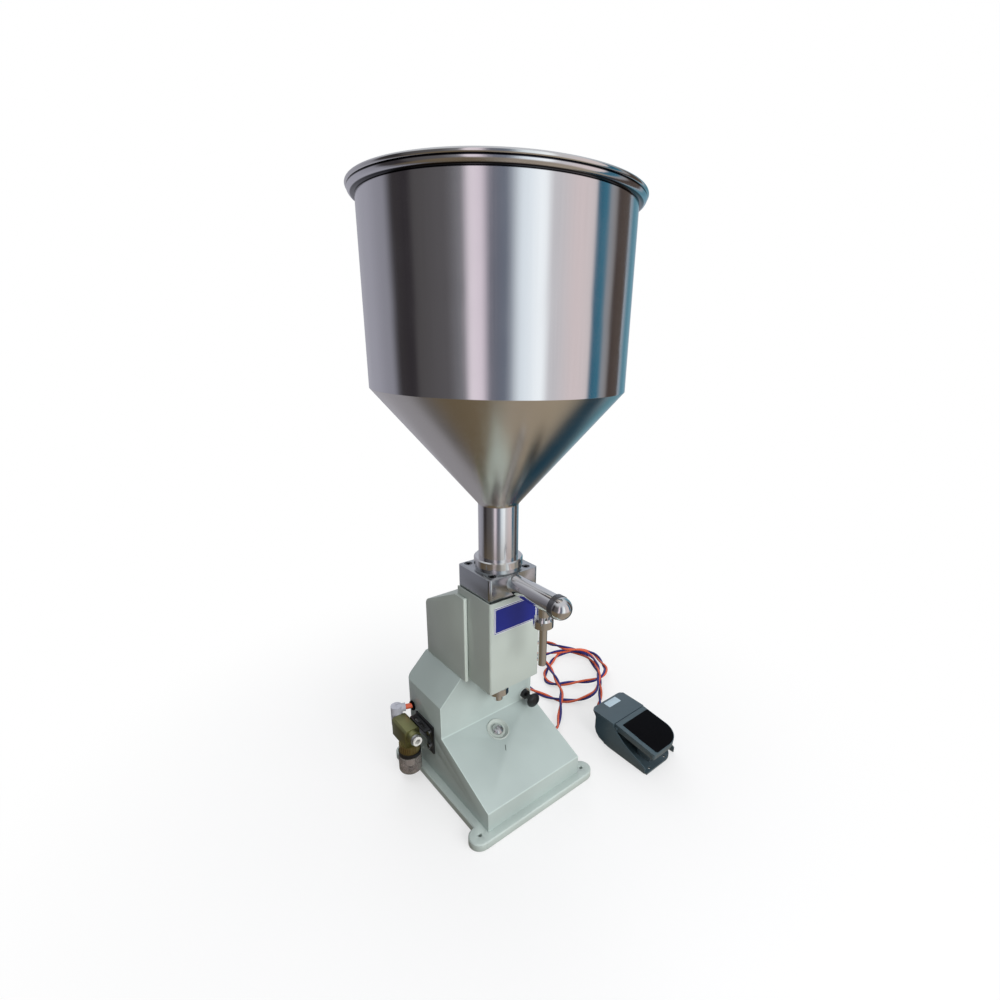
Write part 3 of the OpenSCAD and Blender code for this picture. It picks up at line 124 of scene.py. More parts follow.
class Graph:
    """The node tree of one material or world, built by expressions."""

    def __init__(self, owner: Union[bpy.types.Material, bpy.types.World]) -> None:
        """Empties the owner's tree and keeps it.

        Args:
            owner: The material or world whose nodes are made.
        """
        owner.use_nodes = True
        self.owner = owner
        self.tree = owner.node_tree
        self.tree.nodes.clear()

    def node(self, kind: str, settings: Optional[dict[str, Any]] = None,
             inputs: Optional[dict[Union[str, int], Any]] = None, output: Union[str, int] = 0) -> Sock:
        """Adds any node, sets it, then fills its inputs.

        Args:
            kind: The node's type name.
            settings: Attributes of the node; a ramp's are "stops", (place, colour) pairs, and "blend".
            inputs: Values or links by the socket's name or number.
            output: The output that the result stands for.

        Returns:
            The chosen output.
        """
        made = self.tree.nodes.new(kind)
        for name, value in (settings or {}).items():
            if name == "stops":
                ramp = made.color_ramp
                while len(ramp.elements) > 1:
                    ramp.elements.remove(ramp.elements[-1])
                ramp.elements[0].position, ramp.elements[0].color = value[0][0], (*value[0][1], 1.0)
                for place, colour in value[1:]:
                    ramp.elements.new(place).color = (*colour, 1.0)
            elif name == "blend":
                made.color_ramp.interpolation = value
            else:
                setattr(made, name, value)
        for key, value in (inputs or {}).items():
            self.feed(made.inputs[key], value)
        return Sock(self, made.outputs[output])

    def feed(self, socket: bpy.types.NodeSocket, value: Any) -> None:
        """Links a Sock to an input, or sets the input to a plain value."""
        if isinstance(value, Sock):
            self.tree.links.new(value.socket, socket)
        elif isinstance(value, tuple) and len(value) == 3 and socket.type == "RGBA":
            socket.default_value = (*value, 1.0)
        else:
            socket.default_value = value

    def maths(self, operation: str, *values: Value) -> Sock:
        """One Math node on one to three values."""
        return self.node("ShaderNodeMath", {"operation": operation}, dict(enumerate(values)))

    def vector(self, operation: str, *values: Any) -> Sock:
        """One Vector Math node whose result is a vector."""
        return self.node("ShaderNodeVectorMath", {"operation": operation}, dict(enumerate(values)))

    def between(self, value: Value, low: float, high: float) -> Sock:
        """0 below low, 1 above high, with a smooth step in between."""
        return self.node("ShaderNodeMapRange", {"interpolation_type": "SMOOTHSTEP"},
                         {"Value": value, "From Min": low, "From Max": high})

    def mix(self, factor: Value, first: Any, second: Any) -> Sock:
        """Mixes two colours by a factor."""
        return self.node("ShaderNodeMix", {"data_type": "RGBA"}, {0: factor, 6: first, 7: second}, 2)

    def place(self) -> Sock:
        """The point in the object's own frame, in metres."""
        return self.node("ShaderNodeTexCoord", output="Object")

    def scaled(self, vector: Sock, scale: Triple) -> Sock:
        """A vector stretched along each axis."""
        return self.vector("MULTIPLY", vector, scale)

    def noise(self, vector: Sock, scale: float, detail: float = 2.0, rough: float = 0.5) -> Sock:
        """Smooth noise from 0 to 1."""
        return self.node("ShaderNodeTexNoise", None,
                         {"Vector": vector, "Scale": scale, "Detail": detail, "Roughness": rough})

    def split(self, vector: Sock) -> tuple[Sock, Sock, Sock]:
        """The three parts of a vector."""
        parts = self.node("ShaderNodeSeparateXYZ", None, {0: vector})
        outs = parts.socket.node.outputs
        return Sock(self, outs[0]), Sock(self, outs[1]), Sock(self, outs[2])

    def bump(self, height: Sock, distance: float, strength: float = 1.0) -> Sock:
        """A normal tilted by a height in metres times distance."""
        return self.node("ShaderNodeBump", None,
                         {"Height": height, "Distance": distance, "Strength": strength})

    def away(self, place: Sock, line: Segment) -> Sock:
        """Distance of a place from a line: |rel - along * clamp(rel . along)|, rel from its start."""
        start, end = (np.array(p) for p in line)
        length = float(np.linalg.norm(end - start))
        along = tuple((end - start) / length)
        rel = self.vector("SUBTRACT", place, tuple(start))
        run = self.node("ShaderNodeVectorMath", {"operation": "DOT_PRODUCT"}, {0: rel, 1: along}, 1)
        run = self.maths("MINIMUM", self.maths("MAXIMUM", run, 0.0), length)
        near = self.node("ShaderNodeVectorMath", {"operation": "SCALE"}, {0: along, "Scale": run})
        return self.node("ShaderNodeVectorMath", {"operation": "DISTANCE"}, {0: rel, 1: near}, 1)

    def principled(self, **inputs: Any) -> Sock:
        """A Principled shader; an underscore in a name stands for a space."""
        named = {key.replace("_", " "): value for key, value in inputs.items()}
        return self.node("ShaderNodeBsdfPrincipled", None, named)

    def glow(self, kind: str, colour: Any) -> Sock:
        """An Emission or a Background of one colour at full strength."""
        return self.node(kind, None, {"Color": colour, "Strength": 1.0})

    def either(self, factor: Value, first: Sock, second: Sock) -> Sock:
        """Mixes two shaders by a factor."""
        return self.node("ShaderNodeMixShader", None, {0: factor, 1: first, 2: second})

    def surface(self, shader: Sock) -> None:
        """Ends the tree with its output."""
        ends = "World" if isinstance(self.owner, bpy.types.World) else "Material"
        out = self.tree.nodes.new("ShaderNodeOutput" + ends)
        self.tree.links.new(shader.socket, out.inputs["Surface"])


# Finishes


class Grain(Enum):
    """The way that the marks of a metal finish run."""

    UPRIGHT = (900.0, 900.0, 9.0)
    LEVEL_X = (9.0, 900.0, 900.0)
    LEVEL_Y = (900.0, 9.0, 900.0)
    TURNED = (40.0, 40.0, 2400.0)
    TURNED_Y = (40.0, 2400.0, 40.0)


def shaded(colour: Colour, times: float, plus: float = 0.0) -> Colour:
    """A colour times a number plus another, held at or below 1."""
    return tuple(min(1.0, c * times + plus) for c in colour)


@dataclass(frozen=True)
class Enamel:
    """Satin enamel on sheet: faint orange peel, slow changes of tone, dark specks, scratches and painted
    highlights along folds.
    """

    name: str
    colour: Colour
    rough: float = 0.42
    peel: float = 0.00002
    peel_scale: float = 650.0
    drift: float = 0.06
    drift_scale: float = 9.0
    speck_scale: float = 2600.0
    speck_share: float = 0.35
    scratches: tuple[Segment, ...] = ()
    scratch_dark: Colour = (0.05, 0.05, 0.05)
    scratch_edge: tuple[float, float] = (0.0007, 0.0004)
    highlight_lines: tuple[Segment, ...] = ()
    highlight_width: float = 0.0011
    highlight_share: float = 0.38

    def make(self) -> bpy.types.Material:
        """Builds the material."""
        g = Graph(bpy.data.materials.new(self.name))
        p = g.place()
        slow = g.noise(p, self.drift_scale, 3.0)
        fine = g.noise(p, self.peel_scale)
        specks = g.between(g.noise(p, self.speck_scale, 1.0), 0.62, 0.8) * self.speck_share
        colour = g.mix(g.between(slow, 0.3, 0.7), shaded(self.colour, 1 - self.drift),
                       shaded(self.colour, 1 + self.drift))
        colour = g.mix(specks, colour, shaded(self.colour, 0.8))
        for line in self.scratches:
            colour = g.mix(g.between(g.away(p, line), *self.scratch_edge), colour, self.scratch_dark)
        # Painted highlights: paler lines along the given folds.
        for line in self.highlight_lines:
            wear_and_painted_light = g.between(g.away(p, line), self.highlight_width * 1.35, self.highlight_width * 0.65)
            colour = g.mix(wear_and_painted_light * self.highlight_share, colour, shaded(self.colour, 1.5, 0.06))
        g.surface(g.principled(Base_Color=colour, Roughness=fine * 0.12 + (self.rough - 0.06),
                               Normal=g.bump(fine, self.peel), Coat_Weight=0.15, Coat_Roughness=0.25))
        return g.owner


@dataclass(frozen=True)
class Steel:
    """Bare steel with fine marks along one way, a little haze and, where asked, level lines of painted shadow.
    """

    name: str
    colour: Colour
    rough: float = 0.2
    grain: Grain = Grain.UPRIGHT
    marks: float = 0.000004
    haze: float = 0.12
    haze_scale: float = 14.0
    shadow_levels: tuple[float, ...] = ()
    shadow_edge: tuple[float, float] = (0.0012, 0.0006)
    shadow_dark: Colour = (0.015, 0.015, 0.02)

    def make(self) -> bpy.types.Material:
        """Builds the material."""
        g = Graph(bpy.data.materials.new(self.name))
        p = g.place()
        streaks = g.noise(g.scaled(p, self.grain.value), 1.0, 3.0, 0.6)
        cloud = g.noise(p, self.haze_scale, 4.0)
        colour = g.mix(streaks * 0.6 + cloud * 0.4, shaded(self.colour, 0.88), self.colour)
        # Painted shadow: dark level lines at the given heights.
        for level in self.shadow_levels:
            apart = g.maths("ABSOLUTE", g.split(p)[2] - level)
            colour = g.mix(g.between(apart, *self.shadow_edge), colour, self.shadow_dark)
        rough = streaks * 0.07 + g.between(cloud, 0.35, 0.75) * self.haze + (self.rough - 0.05)
        g.surface(g.principled(Base_Color=colour, Metallic=1.0, Roughness=rough,
                               Normal=g.bump(streaks, self.marks)))
        return g.owner


@dataclass(frozen=True)
class Plastic:
    """Moulded plastic or rubber with a fine grain and slightly uneven gloss."""

    name: str
    colour: Colour
    rough: float = 0.4
    grain: float = 900.0
    depth: float = 0.00002
    coat: float = 0.0
    specular: float = 0.5

    def make(self) -> bpy.types.Material:
        """Builds the material."""
        g = Graph(bpy.data.materials.new(self.name))
        p = g.place()
        fine = g.noise(p, self.grain, 3.0, 0.6)
        slow = g.noise(p, 30.0, 2.0)
        colour = g.mix(slow * 0.5 + fine * 0.3, shaded(self.colour, 0.82), shaded(self.colour, 1.12, 0.004))
        g.surface(g.principled(Base_Color=colour, Roughness=fine * 0.1 + slow * 0.06 + (self.rough - 0.08),
                               Normal=g.bump(fine, self.depth), Coat_Weight=self.coat, Coat_Roughness=0.1,
                               Specular_IOR_Level=self.specular))
        return g.owner


@dataclass(frozen=True)
class Smoked:
    """Smoky clear plastic with an uneven haze."""

    name: str
    colour: Colour
    clear: float = 0.85
    bend: float = 1.3

    def make(self) -> bpy.types.Material:
        """Builds the material."""
        g = Graph(bpy.data.materials.new(self.name))
        p = g.place()
        haze = g.noise(p, 60.0, 3.0)
        colour = g.mix(haze, shaded(self.colour, 0.8), self.colour)
        g.surface(g.principled(Base_Color=colour, Roughness=haze * 0.1 + 0.06,
                               Transmission_Weight=self.clear, IOR=self.bend))
        return g.owner


@dataclass(frozen=True)
class Bordered:
    """A blue plate with a white edge and a thin white line inside it, its blue changing slowly in tone."""

    name: str
    blue: Colour
    white: Colour
    middle: tuple[float, float]
    half: tuple[float, float]
    edge: float = 0.0008
    line: tuple[float, float] = (0.0019, 0.0026)
    blur: float = 0.0001

    def make(self) -> bpy.types.Material:
        """Builds the material; depth in from the edge is the lesser of half size less distance, x and z."""
        g = Graph(bpy.data.materials.new(self.name))
        p = g.place()
        x, _, z = g.split(p)
        in_x = self.half[0] - g.maths("ABSOLUTE", x - self.middle[0])
        in_z = self.half[1] - g.maths("ABSOLUTE", z - self.middle[1])
        depth = g.maths("MINIMUM", in_x, in_z)
        edge = g.between(depth, self.edge + self.blur, self.edge)
        begins, ends = self.line
        line = g.between(depth, begins - self.blur, begins) * g.between(depth, ends + self.blur, ends)
        slow = g.noise(p, 60.0, 3.0)
        blue = g.mix(slow, shaded(self.blue, 0.85), self.blue)
        colour = g.mix(g.maths("MAXIMUM", edge, line), blue, self.white)
        g.surface(g.principled(Base_Color=colour, Roughness=slow * 0.12 + 0.24,
                               Normal=g.bump(slow, 0.000005)))
        return g.owner


@dataclass(frozen=True)
class Ribbed:
    """Metal with ribs round an upright axis, its grooves darkened as painted shade."""

    name: str
    colour: Colour
    centre: tuple[float, float]
    ribs: int = 56
    depth: float = 0.0004

    def make(self) -> bpy.types.Material:
        """Builds the material; the rib height is the sine of ribs times the angle round the axis."""
        g = Graph(bpy.data.materials.new(self.name))
        p = g.place()
        x, y, _ = g.split(p)
        turn = g.maths("ARCTAN2", y - self.centre[1], x - self.centre[0])
        wave = g.maths("SINE", turn * float(self.ribs)) * 0.5 + 0.5
        wear_and_painted_light = g.noise(p, 300.0, 2.0)
        # Painted shade: the colour darkens towards the grooves, with some random wear mixed in.
        colour = g.mix(wave * 0.7 + wear_and_painted_light * 0.3, shaded(self.colour, 0.35), self.colour)
        g.surface(g.principled(Base_Color=colour, Metallic=1.0, Roughness=wear_and_painted_light * 0.1 + 0.26,
                               Normal=g.bump(wave, self.depth)))
        return g.owner


class Finishes:
    """Every finish of the machine, made once and looked up by name."""

    TABLE = (
        Enamel("sheet_enamel", (0.50, 0.56, 0.52)),
        # The hood and body enamels carry painted highlights along their folds.
        Enamel("hood_enamel", (0.50, 0.56, 0.52), highlight_lines=HOOD_HIGHLIGHT_LINES, highlight_width=0.0028, highlight_share=0.85),
        Enamel("body_enamel", (0.44, 0.515, 0.495), scratches=BODY_SCRATCH, highlight_lines=BODY_HIGHLIGHT_LINES),
        Enamel("plate_enamel", (0.50, 0.575, 0.545), rough=0.38),
        Enamel("pedal_enamel", (0.060, 0.092, 0.110), rough=0.36, drift=0.09),
        Enamel("label_pale", (0.50, 0.62, 0.70), rough=0.3, peel=0.000004, drift=0.03),
        Bordered("label_blue", (0.010, 0.020, 0.23), (0.80, 0.82, 0.86), LABEL_MIDDLE, LABEL_HALF),
        # The hopper wall carries painted shadow lines round its rim.
        Steel("hopper_wall", (0.86, 0.85, 0.87), rough=0.13, haze=0.05, shadow_levels=RIM_SHADOW_LINES),
        # The cone's warm tint is a painted reflection of the brown table that it mirrors.
        Steel("hopper_cone", (0.86, 0.82, 0.76), rough=0.20, grain=Grain.TURNED, haze=0.06),
        Steel("pipe_steel", (0.84, 0.83, 0.84), rough=0.15, haze=0.05),
        Steel("polished", (0.84, 0.83, 0.82), rough=0.10, grain=Grain.TURNED, haze=0.04),
        Steel("polished_y", (0.84, 0.83, 0.82), rough=0.10, grain=Grain.TURNED_Y, haze=0.04),
        Steel("milled", (0.55, 0.57, 0.58), rough=0.20, grain=Grain.LEVEL_X, haze=0.08),
        Steel("plated", (0.66, 0.66, 0.66), rough=0.26, grain=Grain.TURNED),
        Steel("dark_steel", (0.10, 0.105, 0.11), rough=0.30, grain=Grain.TURNED),
        Steel("bright", (0.90, 0.90, 0.90), rough=0.07, grain=Grain.TURNED, haze=0.03),
        Steel("collar_steel", (0.24, 0.24, 0.245), rough=0.28, grain=Grain.TURNED_Y),
        Steel("olive_cast", (0.36, 0.36, 0.17), rough=0.40, grain=Grain.LEVEL_Y, marks=0.00002),
        Ribbed("golden", (0.80, 0.68, 0.36), BOWL_CENTRE),
        Plastic("black_plastic", (0.010, 0.010, 0.012), rough=0.30),
        Plastic("black_rubber", (0.002, 0.002, 0.003), rough=0.70, grain=1600.0, depth=0.00004,
                specular=0.05),
        Plastic("white_plastic", (0.80, 0.79, 0.76), rough=0.36),
        Plastic("pale_plastic", (0.52, 0.53, 0.60), rough=0.28),
        Plastic("orange_tube", (0.84, 0.15, 0.065), rough=0.24, depth=0.000004, coat=0.3),
        Plastic("navy_tube", (0.026, 0.022, 0.20), rough=0.24, depth=0.000004, coat=0.3),
        Smoked("smoky_bowl", (0.74, 0.69, 0.66)),
    )

    def __init__(self) -> None:
        """Makes every material."""
        self.made = {finish.name: finish.make() for finish in self.TABLE}

    def __getitem__(self, name: str) -> bpy.types.Material:
        """The material of that name."""
        return self.made[name]


# Surfaces


def mesh_object(name: str, points: Array, faces: Array, smooth_angle: float = 40.0) -> bpy.types.Object:
    """Makes a mesh object from arrays of points and four-cornered faces.

    Args:
        name: The piece's name.
        points: n by 3, in metres.
        faces: m by 4 point numbers.
        smooth_angle: Edges sharper than this stay sharp, in degrees.

    Returns:
        The linked object.
    """
    mesh = bpy.data.meshes.new(name)
    mesh.from_pydata(points.tolist(), [], faces.tolist())
    mesh.update()
    return finished(name, mesh, smooth_angle)


def finished(name: str, mesh: bpy.types.Mesh, smooth_angle: float) -> bpy.types.Object:
    """Shades a mesh smooth up to an angle and links it as an object at the origin."""
    mesh.polygons.foreach_set("use_smooth", np.ones(len(mesh.polygons), bool))
    mesh.set_sharp_from_angle(angle=math.radians(smooth_angle))
    piece = bpy.data.objects.new(name, mesh)
    bpy.context.scene.collection.objects.link(piece)
    return piece


def ring_faces(rings: int, sides: int, closed: bool) -> Array:
    """Faces between rings of points: each joins a point to the next in its ring and to the next ring.

    Args:
        rings: Number of rings.
        sides: Points in a ring.
        closed: Whether the last ring joins the first.

    Returns:
        Point numbers, four to a face.
    """
    i = np.arange(rings if closed else rings - 1)[:, None]
    j = np.arange(sides)[None, :]
    i2, j2 = (i + 1) % rings, (j + 1) % sides
    return np.stack([i * sides + j, i * sides + j2, i2 * sides + j2, i2 * sides + j], -1).reshape(-1, 4)


def rounded_outline(corners: Sequence[Triple], steps: int = 6) -> Array:
    """A closed outline whose corners are rounded, each by its own radius.

    At a corner with unit directions a and b to its neighbours and half angle h, the round starts at radius
    over tan(h) from the corner, and its points run on a circle centred at radius over sin(h) along a plus b.

    Args:
        corners: Each corner's x, y and radius.
        steps: Points on each round corner less one.

    Returns:
        n by 2 points.
    """
    given = np.array(corners, float)
    spots, radii = given[:, :2], given[:, 2]
    a = np.roll(spots, 1, 0) - spots
    b = np.roll(spots, -1, 0) - spots
    a /= np.linalg.norm(a, axis=1, keepdims=True)
    b /= np.linalg.norm(b, axis=1, keepdims=True)
    half = np.arccos(np.clip((a * b).sum(1), -1, 1)) / 2
    middle = a + b
    middle /= np.maximum(np.linalg.norm(middle, axis=1, keepdims=True), 1e-9)
    centre = spots + middle * (radii / np.sin(half))[:, None]
    start = spots + a * (radii / np.tan(half))[:, None] - centre
    end = spots + b * (radii / np.tan(half))[:, None] - centre
    t = np.linspace(0, 1, steps + 1)[None, :, None]
    span = (np.pi - 2 * half)[:, None, None]
    weight = np.maximum(np.sin(span), 1e-9)
    arc = np.sin((1 - t) * span) / weight * start[:, None] + np.sin(t * span) / weight * end[:, None]
    points = (centre[:, None] + arc).reshape(-1, 2)
    apart = np.linalg.norm(points - np.roll(points, 1, 0), axis=1) > 1e-7
    return points[apart]


def turned(name: str, profile: Array) -> bpy.types.Object:
    """A profile turned about the hopper's axis: point = (radius * cos, AXIS_Y + radius * sin, height).

    Args:
        name: The piece's name.
        profile: Closed outline of radius and height in metres.

    Returns:
        The linked object.
    """
    angle = np.linspace(0, 2 * np.pi, HOPPER_SIDES, endpoint=False)[:, None]
    radius, height = profile[None, :, 0], profile[None, :, 1]
    across = radius * np.cos(angle), AXIS_Y + radius * np.sin(angle)
    points = np.stack(np.broadcast_arrays(*across, height), -1).reshape(-1, 3)
    return outward(mesh_object(name, points, ring_faces(HOPPER_SIDES, len(profile), True), 30.0))


def outward(piece: bpy.types.Object) -> bpy.types.Object:
    """Merges a piece's doubles and turns its faces outwards."""
    bm = bmesh.new()
    bm.from_mesh(piece.data)
    bmesh.ops.remove_doubles(bm, verts=bm.verts, dist=1e-7)
    bmesh.ops.dissolve_degenerate(bm, edges=bm.edges, dist=1e-8)
    bmesh.ops.recalc_face_normals(bm, faces=bm.faces)
    bm.to_mesh(piece.data)
    bm.free()
    return piece


def softened(node: str, name: str, width: float, steps: int = 2, sharp: float = 25.0,
             flat: float = 0.4, near: float = 2e-6) -> bpy.types.Object:
    """A copy of a CAD node whose doubles are merged, whose flats are joined and whose edges are rounded.

    Args:
        node: The CAD node.
        name: The new piece's name.
        width: Width of the rounded edge, in metres.
        steps: Steps across it.
        sharp: Edges that turn by more than this many degrees are rounded.
        flat: Faces that meet at less than this many degrees are joined.
        near: Points closer than this many metres are merged.

    Returns:
        The linked object.
    """
    bm = bmesh.new()
    bm.from_mesh(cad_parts[node].data)
    bmesh.ops.remove_doubles(bm, verts=bm.verts, dist=near)
    bmesh.ops.dissolve_limit(bm, angle_limit=math.radians(flat), verts=bm.verts, edges=bm.edges)
    turn = math.radians(sharp)
    edges = [e for e in bm.edges if len(e.link_faces) == 2 and e.calc_face_angle(0.0) > turn]
    bmesh.ops.bevel(bm, geom=edges, offset=width, segments=steps, profile=0.5, affect="EDGES",
                    clamp_overlap=True)
    mesh = bpy.data.meshes.new(name)
    bm.to_mesh(mesh)
    bm.free()
    return finished(name, mesh, 30.0)


def curve_through(route: Array, count: int) -> Array:
    """Points on the smooth curve through a route.

    Between points b and c with neighbours a and d, at t from 0 to 1, the point is half of
    2b + (c - a)t + (2a - 5b + 4c - d)t squared + (3b - a - 3c + d)t cubed. Past each end the route
    is mirrored.

    Args:
        route: n by 3 points.
        count: Number of points that come back.

    Returns:
        count by 3 points.
    """
    p = np.vstack([2 * route[0] - route[1], route, 2 * route[-1] - route[-2]])
    u = np.linspace(0, len(route) - 1, count)
    k = np.minimum(u.astype(int), len(route) - 2)
    t = (u - k)[:, None]
    a, b, c, d = p[k], p[k + 1], p[k + 2], p[k + 3]
    bend, twist = 2 * a - 5 * b + 4 * c - d, 3 * b - a - 3 * c + d
    return 0.5 * (2 * b + (c - a) * t + bend * t**2 + twist * t**3)


def evenly(points: Array, count: int) -> Array:
    """The same line with its points at equal steps along it."""
    steps = np.linalg.norm(np.diff(points, axis=0), axis=1)
    far = np.concatenate([[0], np.cumsum(steps)])
    want = np.linspace(0, far[-1], count)
    return np.stack([np.interp(want, far, points[:, k]) for k in range(3)], 1)


def directions(points: Array) -> Array:
    """Unit directions along a line of points."""
    runs = np.gradient(points, axis=0)
    return runs / np.linalg.norm(runs, axis=1, keepdims=True)


def sides_of(runs: Array) -> tuple[Array, Array]:
    """Two unit vectors square to each direction: one level, and one square to both."""
    level = np.cross(runs, [0.0, 0.0, 1.0])
    level /= np.maximum(np.linalg.norm(level, axis=1, keepdims=True), 1e-6)
    return level, np.cross(level, runs)


def tube(name: str, path: Array, radius: float, sides: int = 14) -> bpy.types.Object:
    """A round tube along a path, closed at both ends.

    Round each path point runs a ring: point + radius * (cos * level + sin * upper), where level and upper are
    square to the path. A ring of no radius at each end closes it.

    Args:
        name: The piece's name.
        path: n by 3 points.
        radius: Radius in metres.
        sides: Points round the tube.

    Returns:
        The linked object.
    """
    level, upper = sides_of(directions(path))
    angle = np.linspace(0, 2 * np.pi, sides, endpoint=False)[None, :, None]
    rings = path[:, None] + radius * (np.cos(angle) * level[:, None] + np.sin(angle) * upper[:, None])
    caps = [np.repeat(path[:1, None], sides, 1), np.repeat(path[-1:, None], sides, 1)]
    points = np.concatenate([caps[0], rings, caps[1]]).reshape(-1, 3)
    return outward(mesh_object(name, points, ring_faces(len(path) + 2, sides, False), 60.0))


def standing(right: Array, up: Array, back: Array, spot: Sequence[float]) -> Matrix:
    """The matrix of an object at a spot with these three unit axes."""
    return Matrix(np.column_stack([right, up, back, spot]).tolist() + [[0, 0, 0, 1]])


# Stage


@dataclass(frozen=True)
class Lamp:
    """A round soft lamp, its size in metres."""

    name: str
    spot: Triple
    size: float
    watts: float


@dataclass
class Studio:
    """Camera at the photograph's place, pale floor, soft lamps and a studio for the metal to mirror.

    The metal sees two rings of tones by heading, each a share of a turn from +X: table_tones lie on the floor
    near the machine, panel_tones stand upright round it.
    """

    eye: Triple = (-0.3867, -0.5272, 0.6135)
    heading: float = -40.67
    pitch: float = 19.57
    roll: float = 1.31
    lens: float = 19.242
    sensor: float = 36.0
    shift: float = 0.03
    aim: Triple = (0.05, 0.0, 0.3)
    lamps: tuple[Lamp, ...] = (
        Lamp("key", (1.0, -1.9, 1.0), 1.3, 11.0),
        Lamp("front", (-0.12, -2.1, 0.8), 1.3, 27.0),
        Lamp("top", (-0.36, 0.1, 2.1), 1.6, 11.5),
        Lamp("rear", (0.9, 1.7, 1.2), 1.5, 9.0),
    )
    dark_side: Colour = (0.05, 0.044, 0.036)
    light_side: Colour = (0.42, 0.42, 0.43)
    sky: Colour = (0.50, 0.51, 0.53)
    ceiling: Colour = (0.62, 0.64, 0.68)
    floor_half: float = 6.0
    floor_low: float = -0.0004
    floor_pale: Colour = (0.94, 0.94, 0.94)
    floor_brown: Colour = (0.30, 0.27, 0.235)
    white: Colour = (1.0, 1.0, 1.0)
    white_share: float = 0.55
    white_reach: tuple[float, float] = (0.2, 0.7)
    table_reach: tuple[float, float] = (0.60, 1.20)
    table_tones: Tones = (
        (0.0, (0.008, 0.05, 0.09)), (0.10, (0.20, 0.18, 0.15)), (0.28, (0.30, 0.30, 0.34)),
        (0.335, (0.30, 0.30, 0.34)), (0.37, (0.115, 0.11, 0.115)), (0.42, (0.14, 0.11, 0.072)),
        (0.57, (0.165, 0.13, 0.088)), (0.64, (0.215, 0.19, 0.155)), (0.70, (0.32, 0.275, 0.225)),
        (0.90, (0.36, 0.31, 0.245)), (0.930, (0.29, 0.26, 0.215)), (0.952, (0.008, 0.032, 0.056)),
        (0.985, (0.008, 0.042, 0.075)),
    )
    panel_tones: Tones = (
        (0.0, (0.36, 0.40, 0.45)), (0.03, (0.10, 0.24, 0.31)), (0.06, (0.16, 0.32, 0.40)),
        (0.11, (0.52, 0.55, 0.62)), (0.20, (0.40, 0.40, 0.45)), (0.29, (0.36, 0.36, 0.41)),
        (0.37, (0.28, 0.28, 0.32)), (0.405, (0.040, 0.036, 0.038)), (0.445, (0.034, 0.030, 0.034)),
        (0.463, (0.085, 0.080, 0.082)), (0.53, (0.105, 0.10, 0.105)), (0.569, (0.19, 0.19, 0.205)),
        (0.587, (0.84, 0.76, 0.82)), (0.608, (0.80, 0.71, 0.78)), (0.630, (0.16, 0.165, 0.20)),
        (0.660, (0.15, 0.17, 0.215)), (0.700, (0.84, 0.92, 0.97)), (0.742, (1.04, 1.10, 1.12)),
        (0.765, (0.62, 0.61, 0.63)), (0.83, (0.72, 0.63, 0.63)), (0.867, (0.70, 0.63, 0.63)),
        (0.875, (0.030, 0.12, 0.19)), (0.903, (0.045, 0.17, 0.25)), (0.918, (0.30, 0.31, 0.33)),
        (0.935, (0.26, 0.25, 0.25)), (0.945, (0.065, 0.048, 0.042)), (0.975, (0.09, 0.07, 0.06)),
    )

    def camera(self) -> None:
        """Places the camera: heading and pitch give back, right and up, then roll turns right and up."""
        a, e, r = (math.radians(v) for v in (self.heading, self.pitch, self.roll))
        back = np.array([math.sin(a) * math.cos(e), -math.cos(a) * math.cos(e), math.sin(e)])
        right = np.array([math.cos(a), math.sin(a), 0.0])
        up = np.cross(back, right)
        right, up = math.cos(r) * right + math.sin(r) * up, -math.sin(r) * right + math.cos(r) * up
        data = bpy.data.cameras.new("camera")
        data.lens, data.sensor_width = self.lens, self.sensor
        data.shift_x, data.shift_y = -self.shift, self.shift
        data.clip_start = 0.01
        camera = bpy.data.objects.new("camera", data)
        camera.matrix_world = standing(right, up, back, self.eye)
        bpy.context.scene.collection.objects.link(camera)
        bpy.context.scene.camera = camera

    def light(self) -> None:
        """Adds the lamps, each aimed at the middle of the machine."""
        for lamp in self.lamps:
            data = bpy.data.lights.new(lamp.name, "AREA")
            data.shape, data.size, data.energy = "DISK", lamp.size, lamp.watts
            made = bpy.data.objects.new(lamp.name, data)
            back = np.array(lamp.spot) - np.array(self.aim)
            back /= np.linalg.norm(back)
            right = np.cross([0, 0, 1], back)
            right /= np.linalg.norm(right)
            made.matrix_world = standing(right, np.cross(back, right), back, lamp.spot)
            made.visible_glossy = False
            bpy.context.scene.collection.objects.link(made)

    @staticmethod
    def rays(g: Graph) -> tuple[Sock, Sock, Sock]:
        """Whether the eye looks, whether metal or glass mirrors, and whether paint gathers light."""
        eye = g.node("ShaderNodeLightPath", output="Is Camera Ray")
        outs = eye.socket.node.outputs
        mirrored = g.maths("MAXIMUM", Sock(g, outs["Is Glossy Ray"]), Sock(g, outs["Is Transmission Ray"]))
        return eye, mirrored, Sock(g, outs["Is Diffuse Ray"])

    @staticmethod
    def by_heading(g: Graph, x: Sock, y: Sock, tones: Tones) -> Sock:
        """The tone at the heading arctan2(y, x) as a share of a turn from +X."""
        turn = g.maths("FRACT", g.maths("ARCTAN2", y, x) / FULL_TURN + 1.0)
        return g.node("ShaderNodeValToRGB", {"blend": "EASE", "stops": tones}, {0: turn})

    def world(self) -> None:
        """A white room for the eye, an even glow for the paint and soft upright panels for the metal."""
        g = Graph(bpy.data.worlds.new("room"))
        bpy.context.scene.world = g.owner
        x, y, z = g.split(g.node("ShaderNodeTexCoord", output="Generated"))
        eye, mirrored, _ = self.rays(g)
        shade = g.mix(g.between(x * 0.8 - y * 0.6, -0.9, 0.7), self.dark_side, self.light_side)
        glow = g.glow("ShaderNodeBackground", g.mix(g.between(z, 0.1, 0.8), shade, self.sky))
        panels = self.by_heading(g, x, y, self.panel_tones)
        shown = g.glow("ShaderNodeBackground", g.mix(g.between(z, 0.40, 0.85), panels, self.ceiling))
        white = g.glow("ShaderNodeBackground", self.white)
        g.surface(g.either(eye, g.either(mirrored, glow, shown), white))

